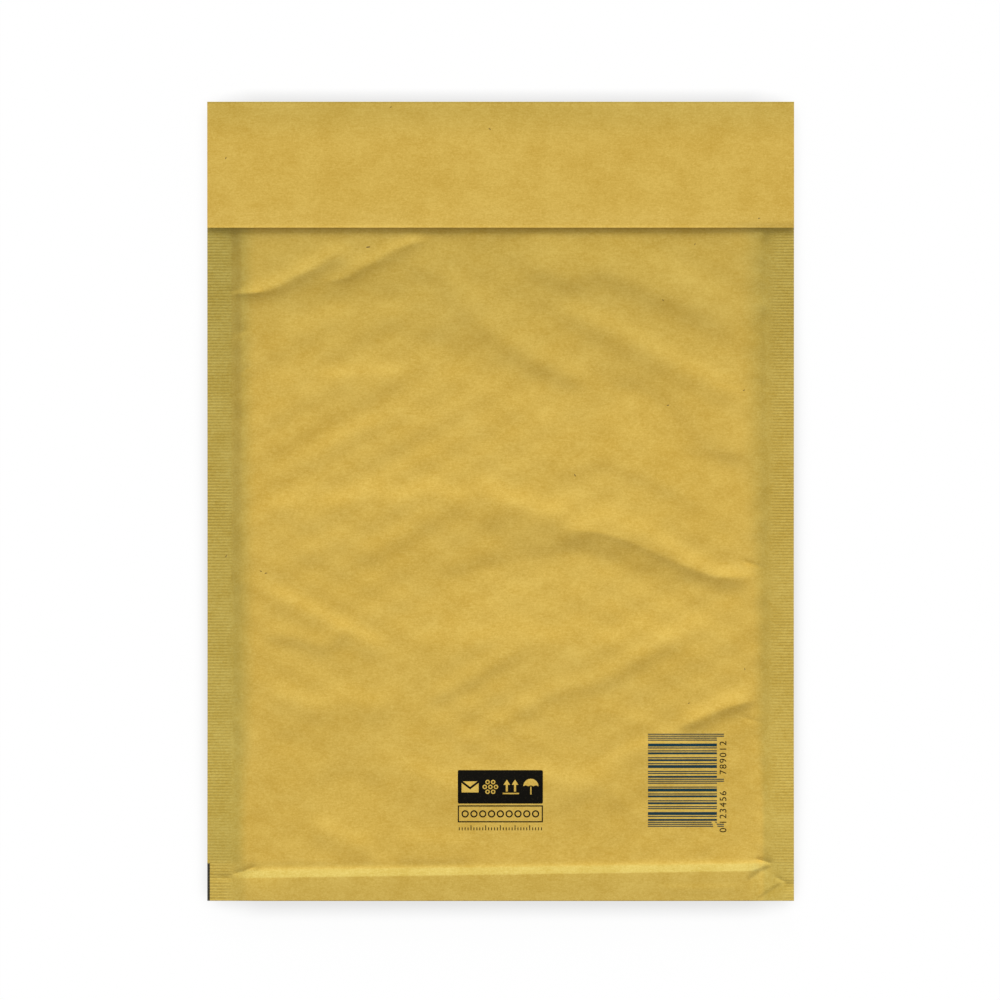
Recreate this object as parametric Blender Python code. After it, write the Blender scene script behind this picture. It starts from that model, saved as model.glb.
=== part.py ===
"""Padded envelope, empty, lying flat with its closing flap folded over on top.

Metres, +Z up. The origin is on the table under the middle of the envelope. X runs across the width, and
+Y runs towards the fold that the closing flap turns over.

A padded envelope is a paper pouch with a bubble film pouch inside it, so both are skinned the same way,
with an outer and an inner surface that meet at the mouth. The paper goes on past the mouth, over the top
fold and back as the flap.
"""

from math import cos, pi, radians, sin, sqrt, tan

import bmesh
import bpy

# Overall size
WIDTH = 0.200
LENGTH = 0.272

# Kraft paper cover
PAPER = 0.00015
FLAP_LENGTH = 0.0430
MOUTH_SETBACK = 0.0080
TOP_FOLD_RADIUS = 0.0006
TOP_FOLD_ANGLE = radians(60)

# Crimped side seams, and the slope of the padding beside them
SEAM_WIDTH = 0.0082
SEAM_THICKNESS = 0.0004
SEAM_LEVEL = 0.0035
SIDE_SLOPE = 0.0050

# Towards the mouth the seams rise to the back panel, because the front panel goes on there up to the top fold
SEAM_RISE = 0.0035
SEAM_RISE_LENGTH = 0.1350
SEAM_RISE_SETBACK = 0.0230

# At the bottom corners they rise as well, because the folded paper is stiff there
CORNER_RISE = 0.0026
CORNER_RISE_LENGTH = 0.0500
CORNER_RISE_SETBACK = 0.0160

# Raised fold along the bottom: a ramp up from the panel, then a shelf out to the edge
SHELF_WIDTH = 0.0082
RAMP_WIDTH = 0.0048
SHELF_RISE = 0.0011
SHELF_EDGE_RADIUS = 0.0005
BOTTOM_FOLD_RADIUS = 0.0025

# Bubble film lining; the inset is the share of the side slope that is too low for it
LINING_LEG = 0.0030
POCKET = 0.0006
LINING_RECESS = 0.0010
LINING_INSET = 0.30
WELD_WIDTH = 0.0010

# Adhesive strip and its release liner, on the inner side of the flap
STRIP_WIDTH = 0.0220
STRIP_THICKNESS = 0.0001
STRIP_EDGE_MARGIN = 0.0060
LINER_OVERLAP = 0.0030
LINER_THICKNESS = 0.0001
STRIP_SIDE_MARGIN = 0.0030

# Gap between pieces that rest on each other
FIT = 0.0003

# Steps in which curved stretches are cut
SLOPE_STEPS = 6
RAMP_STEPS = 4
SEAM_RISE_STEPS = 8
CORNER_RISE_STEPS = 5
CORNER_STEPS = 4
RISE_STEPS = 7
FOLD_STEPS = 8

# Sizes that follow
HALF_WIDTH = WIDTH / 2
TOP_END = LENGTH / 2
BOTTOM_END = -LENGTH / 2
MOUTH = TOP_END - MOUTH_SETBACK
SEAM_INNER = HALF_WIDTH - SEAM_WIDTH
SEAM_RISE_START = MOUTH - SEAM_RISE_SETBACK - SEAM_RISE_LENGTH
CORNER_RISE_START = BOTTOM_END + CORNER_RISE_SETBACK + CORNER_RISE_LENGTH
PANEL_HALF_WIDTH = SEAM_INNER - SIDE_SLOPE
PANEL_TOP = 2 * (PAPER + FIT + LINING_LEG) + POCKET
SHELF_START = BOTTOM_END + SHELF_WIDTH
RAMP_START = SHELF_START + RAMP_WIDTH
LINING_DEPTH = PAPER + FIT
LINER_BOTTOM = PANEL_TOP + FIT
STRIP_BOTTOM = LINER_BOTTOM + LINER_THICKNESS + FIT
FLAP_TOP = STRIP_BOTTOM + STRIP_THICKNESS + FIT + PAPER
FLAP_EDGE = TOP_END - FLAP_LENGTH


def smooth_step(share):
    """Rise from 0 to 1 with level ends."""
    share = min(max(share, 0.0), 1.0)
    return share * share * (3 - 2 * share)


def seam_level(y):
    """Height of the middle of the side seams."""
    to_mouth = SEAM_RISE * smooth_step((y - SEAM_RISE_START) / SEAM_RISE_LENGTH)
    return SEAM_LEVEL + to_mouth + CORNER_RISE * smooth_step((CORNER_RISE_START - y) / CORNER_RISE_LENGTH)


def padding_share(x, depth):
    """0 on the side seams, 1 on the padded panel, and the padding's slope between them.

    A surface under another is also moved in by half its depth, which keeps its distance on the slope.
    """
    return smooth_step((SEAM_INNER - depth / 2 - abs(x)) / SIDE_SLOPE)


def corner_drop(y, end, radius):
    """How far a corner of this radius falls away near the bottom end."""
    inside = end + radius - y
    if radius <= 0 or inside <= 0:
        return 0.0
    inside = min(inside, radius)
    return radius - sqrt(radius * radius - inside * inside)


def shelf_height(y):
    """The raised fold along the bottom, over the panel."""
    share = min(max((RAMP_START - y) / RAMP_WIDTH, 0.0), 1.0)
    return SHELF_RISE * share * share


def upper_surface(x, y, depth):
    """Height of the back panel's surface, or of a surface this deep under it."""
    radius = SHELF_EDGE_RADIUS - depth
    padded = PANEL_TOP + shelf_height(y) - corner_drop(y, BOTTOM_END + depth, radius)
    seam = seam_level(y) + SEAM_THICKNESS / 2
    return seam + (padded - seam) * padding_share(x, depth) - depth


def lower_surface(x, y, depth):
    """Height of the front panel's surface, or of a surface this far above it."""
    padded = corner_drop(y, BOTTOM_END + depth, BOTTOM_FOLD_RADIUS - depth)
    seam = seam_level(y) - SEAM_THICKNESS / 2
    return seam + (padded - seam) * padding_share(x, depth) + depth


def middle_surface(x, y):
    """Height half-way between the two panels."""
    return (upper_surface(x, y, 0) + lower_surface(x, y, 0)) / 2


def mirrored(values):
    """A rising list of places across the width, from those of its positive half."""
    return [-value for value in reversed(values)] + list(values)


def places_across(slope_end):
    """Places across one half of the padding, from the flat panel out to slope_end."""
    step = (slope_end - PANEL_HALF_WIDTH) / SLOPE_STEPS
    return [PANEL_HALF_WIDTH + step * count for count in range(SLOPE_STEPS + 1)]


def rows_down(start, depth):
    """Rows from the mouth to the bottom end: closer together on the ramp and round the corners."""
    end = BOTTOM_END + depth
    rows = [start]
    for first, length, steps in (
        (SEAM_RISE_START, SEAM_RISE_LENGTH, SEAM_RISE_STEPS),
        (CORNER_RISE_START, -CORNER_RISE_LENGTH, CORNER_RISE_STEPS),
        (RAMP_START, -RAMP_WIDTH, RAMP_STEPS),
    ):
        rows += [first + length * count / steps for count in range(steps + 1)]
    for radius in (SHELF_EDGE_RADIUS - depth, BOTTOM_FOLD_RADIUS - depth):
        if radius > 0:
            turns = [pi / 2 * count / CORNER_STEPS for count in range(CORNER_STEPS)]
            rows += [end + radius * (1 - sin(turn)) for turn in turns]
    rows.append(end)
    return sorted(rows, reverse=True)


def surface(bm, columns, rows, height):
    """Vertices of one surface: a list of columns, each a list of rows."""
    return [[bm.verts.new((x, y, height(x, y))) for y in rows] for x in columns]


def skin(bm, first, second):
    """Faces between two lines of as many vertices, where they aren't the same vertices."""
    for near, far, next_near, next_far in zip(first, second, first[1:], second[1:]):
        corners = []
        for corner in (near, next_near, next_far, far):
            if corner not in corners:
                corners.append(corner)
        if len(corners) > 2:
            bm.faces.new(corners)


def skin_all(bm, lines):
    """Faces between each line of vertices and the next."""
    for first, second in zip(lines, lines[1:]):
        skin(bm, first, second)


def finish(bm, name, material, location=(0, 0, 0)):
    """Turn a bmesh into a named object with its material."""
    bmesh.ops.recalc_face_normals(bm, faces=bm.faces)
    mesh = bpy.data.meshes.new(name)
    bm.to_mesh(mesh)
    bm.free()
    mesh.shade_smooth()
    mesh.set_sharp_from_angle(angle=radians(40))
    mesh.materials.append(material)
    thing = bpy.data.objects.new(name, mesh)
    thing.location = location
    bpy.context.scene.collection.objects.link(thing)
    return thing


def plain_material(name, color, roughness):
    """A Principled material of one colour."""
    material = bpy.data.materials.new(name)
    material.use_nodes = True
    shader = material.node_tree.nodes["Principled BSDF"]
    shader.inputs["Base Color"].default_value = (*color, 1.0)
    shader.inputs["Roughness"].default_value = roughness
    shader.inputs["Metallic"].default_value = 0.0
    return material


def neck_profile(x):
    """Outer and inner line, in Y and Z, of the paper from the mouth over the top fold to the flap's edge."""
    fold_y = TOP_END - TOP_FOLD_RADIUS
    fold_z = FLAP_TOP - TOP_FOLD_RADIUS
    arc_y = fold_y + TOP_FOLD_RADIUS * sin(TOP_FOLD_ANGLE)
    arc_z = fold_z - TOP_FOLD_RADIUS * cos(TOP_FOLD_ANGLE)
    base = lower_surface(x, MOUTH, 0)
    run = arc_y - MOUTH
    rise = arc_z - base
    power = tan(TOP_FOLD_ANGLE) * run / rise
    outer = []
    inner = []
    for count in range(1, RISE_STEPS):
        share = count / RISE_STEPS
        slope = power * rise * share ** (power - 1) / run
        tilt = sqrt(1 + slope * slope)
        y = MOUTH + run * share
        z = base + rise * share ** power
        outer.append((y, z))
        inner.append((y - PAPER * slope / tilt, z + PAPER / tilt))
    for count in range(FOLD_STEPS + 1):
        turn = TOP_FOLD_ANGLE + (pi - TOP_FOLD_ANGLE) * count / FOLD_STEPS
        for line, radius in ((outer, TOP_FOLD_RADIUS), (inner, TOP_FOLD_RADIUS - PAPER)):
            line.append((fold_y + radius * sin(turn), fold_z - radius * cos(turn)))
    outer.append((FLAP_EDGE, FLAP_TOP))
    inner.append((FLAP_EDGE, FLAP_TOP - PAPER))
    return outer, inner


def build_cover(material):
    """The kraft paper: pouch, side seams, top fold and flap, as one closed solid."""
    bm = bmesh.new()
    columns = mirrored(places_across(SEAM_INNER) + [HALF_WIDTH])
    rows = rows_down(MOUTH, 0)
    upper = surface(bm, columns, rows, lambda x, y: upper_surface(x, y, 0))
    lower = surface(bm, columns, rows, lambda x, y: lower_surface(x, y, 0))

    # Inside, the two panels meet in one line at each seam, so those columns share their vertices
    inside_columns = columns[1:-1]
    inside_rows = rows_down(MOUTH, PAPER)
    upper_in = surface(bm, inside_columns[1:-1], inside_rows, lambda x, y: upper_surface(x, y, PAPER))
    lower_in = surface(bm, inside_columns[1:-1], inside_rows, lambda x, y: lower_surface(x, y, PAPER))
    seams = surface(bm, (-SEAM_INNER, SEAM_INNER), inside_rows, lambda x, y: seam_level(y))
    upper_in = [seams[0], *upper_in, seams[1]]
    lower_in = [seams[0], *lower_in, seams[1]]

    # Past the mouth the front panel goes on over the top fold and back as the flap
    neck_out = []
    neck_in = []
    for index, x in enumerate(columns):
        outer, inner = neck_profile(x)
        if abs(x) == HALF_WIDTH:
            start = bm.verts.new((x, MOUTH, lower_surface(x, MOUTH, PAPER)))
        else:
            start = lower_in[index - 1][0]
        neck_out.append([lower[index][0]] + [bm.verts.new((x, *point)) for point in outer])
        neck_in.append([start] + [bm.verts.new((x, *point)) for point in inner])

    for lines in (upper, lower, upper_in, lower_in, neck_out, neck_in):
        skin_all(bm, lines)

    # The bottom end's wall, outside and inside
    skin(bm, [line[-1] for line in upper], [line[-1] for line in lower])
    skin(bm, [line[-1] for line in upper_in], [line[-1] for line in lower_in])

    # The back panel's edge at the mouth, and the ends of the seams beside it
    skin(bm, [line[0] for line in upper[1:-1]], [line[0] for line in upper_in])
    for outside, inside in ((0, 1), (-1, -2)):
        bm.faces.new((upper[outside][0], upper[inside][0], neck_in[inside][0], neck_in[outside][0]))

    # The cut edges: along the seams, up the sides of the flap and along its free edge
    for side in (0, -1):
        first = (upper[side][0], upper[side][1], lower[side][1], lower[side][0], neck_in[side][0])
        bm.faces.new(first)
        skin(bm, upper[side][1:], lower[side][1:])
        skin(bm, neck_out[side], neck_in[side])
    skin(bm, [line[-1] for line in neck_out], [line[-1] for line in neck_in])
    return finish(bm, "kraft_cover", material)


def build_lining(material):
    """The bubble film as a plain pouch of its full thickness, welded at the sides and open at the mouth."""
    bm = bmesh.new()
    mouth = MOUTH - LINING_RECESS
    half_width = SEAM_INNER - LINING_INSET * SIDE_SLOPE
    weld = half_width - WELD_WIDTH
    columns = mirrored(places_across(weld) + [half_width])
    rows = rows_down(mouth, LINING_DEPTH)
    upper = surface(bm, columns, rows, lambda x, y: upper_surface(x, y, LINING_DEPTH))
    lower = surface(bm, columns, rows, lambda x, y: lower_surface(x, y, LINING_DEPTH))

    pocket_end = BOTTOM_END + LINING_DEPTH + LINING_LEG
    inside_rows = [row for row in rows if row > pocket_end] + [pocket_end]
    inside = columns[2:-2]
    upper_in = surface(bm, inside, inside_rows, lambda x, y: middle_surface(x, y) + POCKET / 2)
    lower_in = surface(bm, inside, inside_rows, lambda x, y: middle_surface(x, y) - POCKET / 2)
    welds = surface(bm, (-weld, weld), inside_rows, middle_surface)
    upper_in = [welds[0], *upper_in, welds[1]]
    lower_in = [welds[0], *lower_in, welds[1]]

    for lines in (upper, lower, upper_in, lower_in):
        skin_all(bm, lines)
    skin(bm, [line[-1] for line in upper], [line[-1] for line in lower])
    skin(bm, [line[-1] for line in upper_in], [line[-1] for line in lower_in])
    skin(bm, [line[0] for line in upper[1:-1]], [line[0] for line in upper_in])
    skin(bm, [line[0] for line in lower[1:-1]], [line[0] for line in lower_in])
    for outside, next_in, line in ((0, 1, welds[0]), (-1, -2, welds[1])):
        corners = (upper[outside][0], upper[next_in][0], line[0], lower[next_in][0], lower[outside][0])
        bm.faces.new(corners)
        skin(bm, upper[outside], lower[outside])
    return finish(bm, "bubble_lining", material)


def build_band(name, low_y, high_y, bottom, thickness, material):
    """A flat band across the inner side of the flap."""
    bm = bmesh.new()
    bmesh.ops.create_cube(bm, size=1.0)
    size = (WIDTH - 2 * STRIP_SIDE_MARGIN, high_y - low_y, thickness)
    bmesh.ops.scale(bm, vec=size, verts=bm.verts)
    return finish(bm, name, material, (0, (low_y + high_y) / 2, bottom + thickness / 2))


def build():
    """Make the four pieces and hang them on one empty."""
    kraft = plain_material("kraft_paper", (0.631, 0.429, 0.084), 0.75)
    film = plain_material("bubble_film", (0.78, 0.80, 0.80), 0.25)
    adhesive = plain_material("hot_melt_adhesive", (0.80, 0.74, 0.55), 0.35)
    liner_paper = plain_material("release_paper", (0.86, 0.86, 0.84), 0.40)
    strip_low = FLAP_EDGE + STRIP_EDGE_MARGIN
    strip_high = strip_low + STRIP_WIDTH
    pieces = [
        build_cover(kraft),
        build_lining(film),
        build_band("seal_strip", strip_low, strip_high, STRIP_BOTTOM, STRIP_THICKNESS, adhesive),
        build_band(
            "release_liner",
            strip_low - LINER_OVERLAP,
            strip_high + LINER_OVERLAP,
            LINER_BOTTOM,
            LINER_THICKNESS,
            liner_paper,
        ),
    ]
    envelope = bpy.data.objects.new("envelope", None)
    bpy.context.scene.collection.objects.link(envelope)
    for piece in pieces:
        piece.parent = envelope


for old in list(bpy.data.objects):
    bpy.data.objects.remove(old, do_unlink=True)
build()
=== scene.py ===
"""Padded envelope: a kraft paper mailer with a bubble film lining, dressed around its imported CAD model.

The frame's unit is the metre. The shape functions below work in millimetres, because paper is thin and its
creases are fractions of one. X runs across the width, +Y towards the fold that the flap turns over, +Z up.
"""

from math import cos, pi, radians, sin, tan

import bmesh
import bpy
import numpy as np
from bpy.props import FloatProperty, FloatVectorProperty, IntProperty, PointerProperty, StringProperty
from mathutils import Matrix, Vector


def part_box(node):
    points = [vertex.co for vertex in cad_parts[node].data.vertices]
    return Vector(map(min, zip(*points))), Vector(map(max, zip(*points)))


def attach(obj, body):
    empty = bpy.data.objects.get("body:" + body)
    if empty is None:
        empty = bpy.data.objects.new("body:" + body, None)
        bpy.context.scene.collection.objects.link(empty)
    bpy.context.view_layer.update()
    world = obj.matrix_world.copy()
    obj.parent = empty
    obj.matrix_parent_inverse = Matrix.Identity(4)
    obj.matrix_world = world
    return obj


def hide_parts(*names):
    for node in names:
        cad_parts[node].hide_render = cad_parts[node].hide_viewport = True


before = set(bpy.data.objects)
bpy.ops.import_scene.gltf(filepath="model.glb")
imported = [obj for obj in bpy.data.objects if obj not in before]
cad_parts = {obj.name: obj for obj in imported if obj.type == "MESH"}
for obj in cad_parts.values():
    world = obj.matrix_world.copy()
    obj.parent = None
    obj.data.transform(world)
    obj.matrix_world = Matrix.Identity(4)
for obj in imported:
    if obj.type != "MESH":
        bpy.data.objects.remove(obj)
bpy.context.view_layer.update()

bl_info = {
    "name": "Padded Envelope",
    "version": (1, 0, 0),
    "blender": (4, 5, 0),
    "location": "View3D > Sidebar > Envelope",
    "description": "Builds a padded kraft paper envelope that lies closing side up",
    "category": "Object",
}

MM = 0.001
cover_low, cover_high = (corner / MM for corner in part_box("kraft_cover"))
strip_low, strip_high = (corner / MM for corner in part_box("seal_strip"))
liner_low, liner_high = (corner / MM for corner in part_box("release_liner"))
lining_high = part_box("bubble_lining")[1] / MM

# Outline of the cover, from its CAD node: the cut edges lie a little inside it, and the bottom bulges out
SIDE_INSET = 0.05
BOTTOM_BULGE = 0.25
HALF_WIDTH = round(cover_high.x, 3) - SIDE_INSET
TOP_END = round(cover_high.y, 3)
BOTTOM_END = round(cover_low.y, 3) - BOTTOM_BULGE
FLAP_TOP = round(cover_high.z, 3)
MOUTH = 128.0
FLAP_EDGE = 93.1
FOLD_RADIUS = 0.35
FOLD_ANGLE = radians(60)

# Panel and side seams; the seams rise towards the mouth and a little at the bottom corners
PANEL_TOP = 7.5
SEAM_INNER = 91.8
SEAM_LEVEL = 3.5
SEAM_HALF = 0.2
SEAM_RISE = 3.5
SEAM_RISE_START = -30.0
SEAM_RISE_LENGTH = 135.0
CORNER_RISE = 2.6
CORNER_RISE_START = -70.0
CORNER_RISE_LENGTH = 50.0
RIB_STEPS = 4

# Widths of the padding's rounded edge beside the left and the right seam, on the back and on the front
BACK_SLOPES = (9.0, 10.5)
FRONT_SLOPES = (7.0, 7.0)

# Ramp up to the shelf that the folded lining makes along the bottom
CREST_Y = -127.24
CREST_TILT = 0.0140
RAMP_PITCH = 0.685
RAMP_STRAIGHT = 2.5
RAMP_FILLET = 3.4
CREST_SWELL = 0.16
SHELF_EDGE_RADIUS = 0.25
BOTTOM_FOLD_RADIUS = 2.5

# Below this line the back's mesh is finer
LOW_BAND = -119.9

# Between these lines the back keeps only every so many of the rows that the seams have, fewest under the
# flap and more where crisp folds lie; the front does so above FRONT_LOW
BACK_ROW_STEPS = (
    (-121.9, MOUTH + 1, 4), (96.0, MOUTH + 1, 8), (66.0, 90.0, 2), (54.5, 60.0, 2), (41.0, 48.0, 2),
    (-28.0, -8.0, 2), (-79.0, -66.0, 2), (-133.0, -128.5, 2),
)
FRONT_LOW = -132.9
FRONT_ROW_STEP = 12

# Registration mark at the left edge
MARK_X = -99.1
MARK_Y = -123.5

# Creases of the back panel: what each is, its height, how far it spreads above and below its crest (towards
# the flap and towards the bottom), and the points of the crest
PANEL_CREASES = (
    ("left top ridge, outer end", 0.48, 3.2, 2.5, (-90, 70.2), (-81, 71.5), (-72, 74.6), (-66, 78.9)),
    ("left top ridge, inner end", 0.54, 3.3, 3.7, (-70, 75.2), (-63, 79.6), (-56, 83.0), (-51, 83.9)),
    ("second top ridge", 0.44, 3.4, 3.1, (-55, 76.9), (-48, 80.2), (-41, 82.3), (-35, 85.3), (-28, 88.5)),
    ("dimple right of it", 0.26, 15.3, 3.8, (-33, 83.4), (-25, 79.0), (-17, 77.3)),
    ("middle top ridge", 0.64, 7.0, 4.6, (-21, 73.5), (-10, 64.9), (0, 56.4), (13, 48.1), (29, 41.6)),
    ("hollow left of it", -0.34, 5.9, 15.3, (-53, 51.4), (-36, 54.5), (-21, 52.0), (-7, 52.1)),
    ("right top ridge", 1.08, 9.6, 6.5, (7, 80.5), (24, 77.7), (37, 78.3), (54, 72.5), (80, 62.3)),
    ("right second ridge", 0.84, 5.3, 6.2, (20, 63.3), (34, 59.2), (51, 50.3), (68, 41.6), (83, 35.7)),
    ("right hollow", -0.68, 5.0, 10.1, (34, 37.6), (51, 33.7), (64, 20.0), (85, 7.5)),
    ("right pinch", 0.42, 15.3, 3.6, (62, 19.4), (68, 18.7), (80, 17.3), (89, 17.3)),
    ("left wave", 0.50, 3.7, 10.6, (-81, 30.2), (-68, 40.3), (-55, 41.5), (-34, 42.7)),
    ("left wave, lower", 0.30, 4.8, 4.5, (-68, 28.2), (-55, 37.7), (-41, 41.4), (-31, 44.1)),
    ("left second wave", 0.36, 3.6, 7.3, (-65, 13.9), (-53, 21.3), (-39, 25.6), (-24, 29.8)),
    ("left third wave", -0.18, 4.4, 4.2, (-45, 7.8), (-31, 15.6), (-14, 21.7)),
    ("central ridge, left", 0.88, 5.2, 9.8, (-83, -4.5), (-62, -2.6), (-41, -0.5), (-21, 0.4), (-4, 0.2)),
    ("central ridge, middle", 1.20, 5.5, 7.8, (-7, 0.0), (7, -3.2), (16, -5.0), (24, -5.2)),
    ("central ridge, right of it", 1.04, 6.5, 5.5, (20, -10.3), (34, -9.6), (47, -12.0), (58, -16.6)),
    ("central ridge, right end", 0.56, 3.5, 3.2, (54, -15.4), (68, -23.7), (80, -26.3), (88, -27.0)),
    ("hollow below it", -0.74, 4.6, 11.9, (-28, -29.4), (0, -23.2), (27, -18.9), (54, -27.3), (78, -33.4)),
    ("left low ridge", 0.72, 3.5, 7.0, (-81, -31.4), (-68, -37.0), (-55, -43.8), (-39, -51.0)),
    ("left low ridge, forked", 0.44, 3.5, 2.8, (-81, -45.4), (-68, -46.9), (-58, -48.5), (-51, -42.7)),
    ("low middle swell", 0.76, 5.9, 12.3, (-34, -49.7), (-14, -49.9), (7, -48.4), (34, -49.5),
     (54, -48.0), (78, -44.5)),
    ("rising ridge", 0.42, 3.8, 3.1, (0, -74.6), (20, -64.4), (36, -60.4), (47, -53.5), (61, -47.3)),
    ("rising ridge, left", 0.28, 3.9, 2.4, (-24, -66.9), (-14, -63.1), (0, -54.3), (10, -48.3)),
    ("left bottom wave", 0.52, 4.9, 5.5, (-81, -66.8), (-68, -70.0), (-51, -69.8), (-34, -69.9)),
    ("right sharp ridge", 0.72, 4.2, 2.5, (61, -76.0), (68, -74.4), (75, -71.0), (87, -67.5)),
    ("swell over the pictogram", 0.88, 5.9, 9.7, (-36, -92.3), (-24, -95.8), (-14, -98.2), (13, -96.4),
     (41, -97.3)),
    ("swell over the stripes", 0.54, 2.8, 15.3, (34, -91.1), (47, -84.7), (68, -85.3)),
    ("left bottom ridge", 0.58, 3.8, 4.6, (-65, -110.3), (-53, -115.7), (-43, -119.1)),
    ("swell right of it", 0.50, 3.9, 11.6, (-36, -116.0), (-24, -117.3), (-10, -117.0)),
    ("left bottom hollow", -0.56, 5.9, 10.6, (-62, -97.8), (-51, -95.8), (-39, -100.3)),
    ("right low hollow", 0.30, 3.3, 15.3, (34, -71.9), (47, -76.0), (64, -85.6)),
    ("arc over the central ridge", 0.30, 7.2, 3.3, (13, 9.0), (34, 13.6), (51, 8.2), (68, 0.2)),
    ("wave below the central ridge", 0.48, 5.3, 5.8, (-81, -21.8), (-68, -17.3), (-51, -16.3),
     (-34, -13.1), (-21, -2.5)),
    ("left low wave", -0.16, 3.3, 4.4, (-81, -82.6), (-65, -82.9), (-48, -87.0), (-34, -72.7)),
    ("right low wave", 0.24, 6.3, 2.9, (20, -103.6), (34, -97.3), (47, -106.0)),
    ("top left hollow", -0.52, 6.0, 5.2, (-81, 61.6), (-65, 66.4), (-48, 68.4), (-31, 70.7)),
    ("top middle hollow", -0.48, 5.2, 7.5, (-28, 55.1), (-10, 47.5), (7, 41.1), (24, 35.0)),
    ("faint crease by the right seam", -0.10, 0.9, 0.9, (72, 41.4), (76, 39.9), (80, 39.4), (83, 40.0)),
    ("faint crease by the stripes", 0.16, 0.9, 0.9, (67.8, -121.0), (73.2, -110.5)),
)

# Folds with a crisp crest or, where the height is negative, a crisp bottom
PANEL_FOLDS = (
    ("left top fold", 0.46, 3.4, 1.7, (-91, 70.7), (-82.7, 70.9), (-76.3, 72.9), (-70.8, 75.9),
     (-61.6, 80.3), (-55.5, 85.4)),
    ("second top fold", 0.42, 2.8, 1.4, (-59.3, 74.6), (-52, 76.3), (-46.2, 79.7), (-41.8, 82),
     (-37.2, 84.9), (-26, 88.8)),
    ("central fold", 0.42, 3.0, 2.6, (24, -10), (34, -11), (45, -14.4), (54.3, -18.5), (63.4, -22.5),
     (72.3, -25.6), (86.5, -25.9)),
    ("notch at the right seam", -0.50, 1.3, 1.6, (82.5, -20.4), (86.5, -21.6), (91, -23.4)),
    ("right low fold", 0.42, 3.2, 2.0, (60, -78.4), (67.9, -74.2), (77, -70.7), (87.5, -67.8)),
    ("notch below it", -0.30, 1.0, 1.3, (82.5, -73.6), (90, -75.9)),
    ("pucker at the left seam", -0.40, 0.9, 0.7, (-89.8, 56.3), (-86.5, 58.4)),
    ("pucker below it", -0.40, 0.9, 0.7, (-89.0, 42.7), (-85.2, 46.5)),
)

# Crisp folds and pinches that cross the padding's edge, by the left top fold and at the bottom corners
EDGE_FOLDS = (
    ("end of the left top fold", 0.30, 1.0, 0.8, (-91.0, 70.3), (-87, 70.7), (-81, 71.2)),
    ("pinch above its end", -0.32, 1.0, 0.8, (-92.0, 71.3), (-89.5, 72.0), (-87.0, 73.4)),
    ("pinch by the ramp's left end", -0.60, 2.1, 0.5, (-91.0, -127.2), (-87.1, -126.1), (-83.3, -124.6)),
    ("pinch by its right end", -0.60, 1.4, 0.6, (86.9, -122.0), (89.4, -122.6), (92.2, -123.7)),
    ("right pleat", -0.75, 1.6, 4.8, (84.0, -129.3), (86.3, -127.8), (88.4, -126.4), (92.6, -124.4)),
    ("lip over the low pleat", 0.20, 3.2, 0.6, (87.4, -135.0), (90.4, -132.9), (92.6, -131.5),
     (95.8, -129.9)),
    ("low pleat", -0.16, 0.6, 4.5, (87.8, -135.5), (90.7, -133.5), (92.9, -132.1), (96.0, -130.4)),
    ("pinch above the low pleat", -0.44, 0.9, 0.7, (93.6, -128.1), (95.3, -129.0), (97.1, -130.0)),
)

# Soft creases on the shelf and across the seams
EDGE_CREASES = (
    ("swell on the shelf", 0.12, 1.0, 2.2, (54, -131.8), (70, -131.9), (82, -131.5)),
    ("crease across the left seam", -0.50, 1.3, 1.0, (-98.8, -128.5), (-92, -128.3)),
    ("crease across the right seam", -0.55, 1.1, 2.4, (97.0, -130.6), (99.8, -131.0)),
)

# Creases of the flap, near its free edge
FLAP_CREASES = (
    ("lifted spot at the edge", 0.20, 4.0, 3.0, (-28, 94.0), (-14, 94.0)),
    ("faint crease", 0.05, 0.8, 0.8, (-10, 99.8), (1, 102.6)),
)

# Where the print lies: the middle of the pictogram's foot, a corner of the stripes and their size, and the
# numerals' line, where each of their groups starts, and their size
PICTOGRAM_AT = (-0.1, -112.2)
STRIPES_AT = (50.2, -111.0)
STRIPES_SIZE = (23.5, 31.7)
NUMERALS_LINE = 76.9
NUMERAL_STARTS = (-113.0, -110.3, -93.3)
NUMERAL_SIZE = 3.3

# Half the empty space in the film pouch, the film's distance from the middle at its welds, and the room
# that is left between a bubble's top and the paper
POUCH_GAP = 0.3
WELD_GAP = 0.01
BUBBLE_ROOM = 0.35

# A bubble's height, and its profile from the foot up: share of its radius and of its height
BUBBLE_HIGHEST = 3.5
BUBBLE_LOWEST = 0.8
BUBBLE_PROFILE = ((1.0, 0.0), (0.985, 0.3), (0.93, 0.62), (0.76, 0.88), (0.42, 0.985))

# Bubble rows that show through the back panel, rising and falling ones: pitch, direction of the row's
# normal, turn; where they show best: strength, middle and radii of a soft spot; and where rows of the other
# layer show, which lie between these: which rows, strength, turn, middle and radii
BUBBLE_ROWS = ((9.505, (0.4848, -0.8746), radians(228.5)), (9.403, (-0.4540, -0.8910), radians(66.3)))
ROWS_EVERYWHERE = 0.020
RISING_SPOTS = (
    (0.068, -55, 18, 62, 42), (0.068, 66, -62, 46, 48), (0.040, -35, -28, 18, 16), (0.028, 25, 0, 18, 18)
)
FALLING_SPOTS = (
    (0.052, -70, -40, 40, 30), (0.044, 62, -40, 44, 40), (0.020, 60, 70, 50, 40), (0.030, -5, 0, 18, 18)
)
OTHER_LAYER = ((0, 0.125, radians(150), -5, -68, 22, 28), (1, 0.100, radians(-155), -3, -78, 36, 25))

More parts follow.
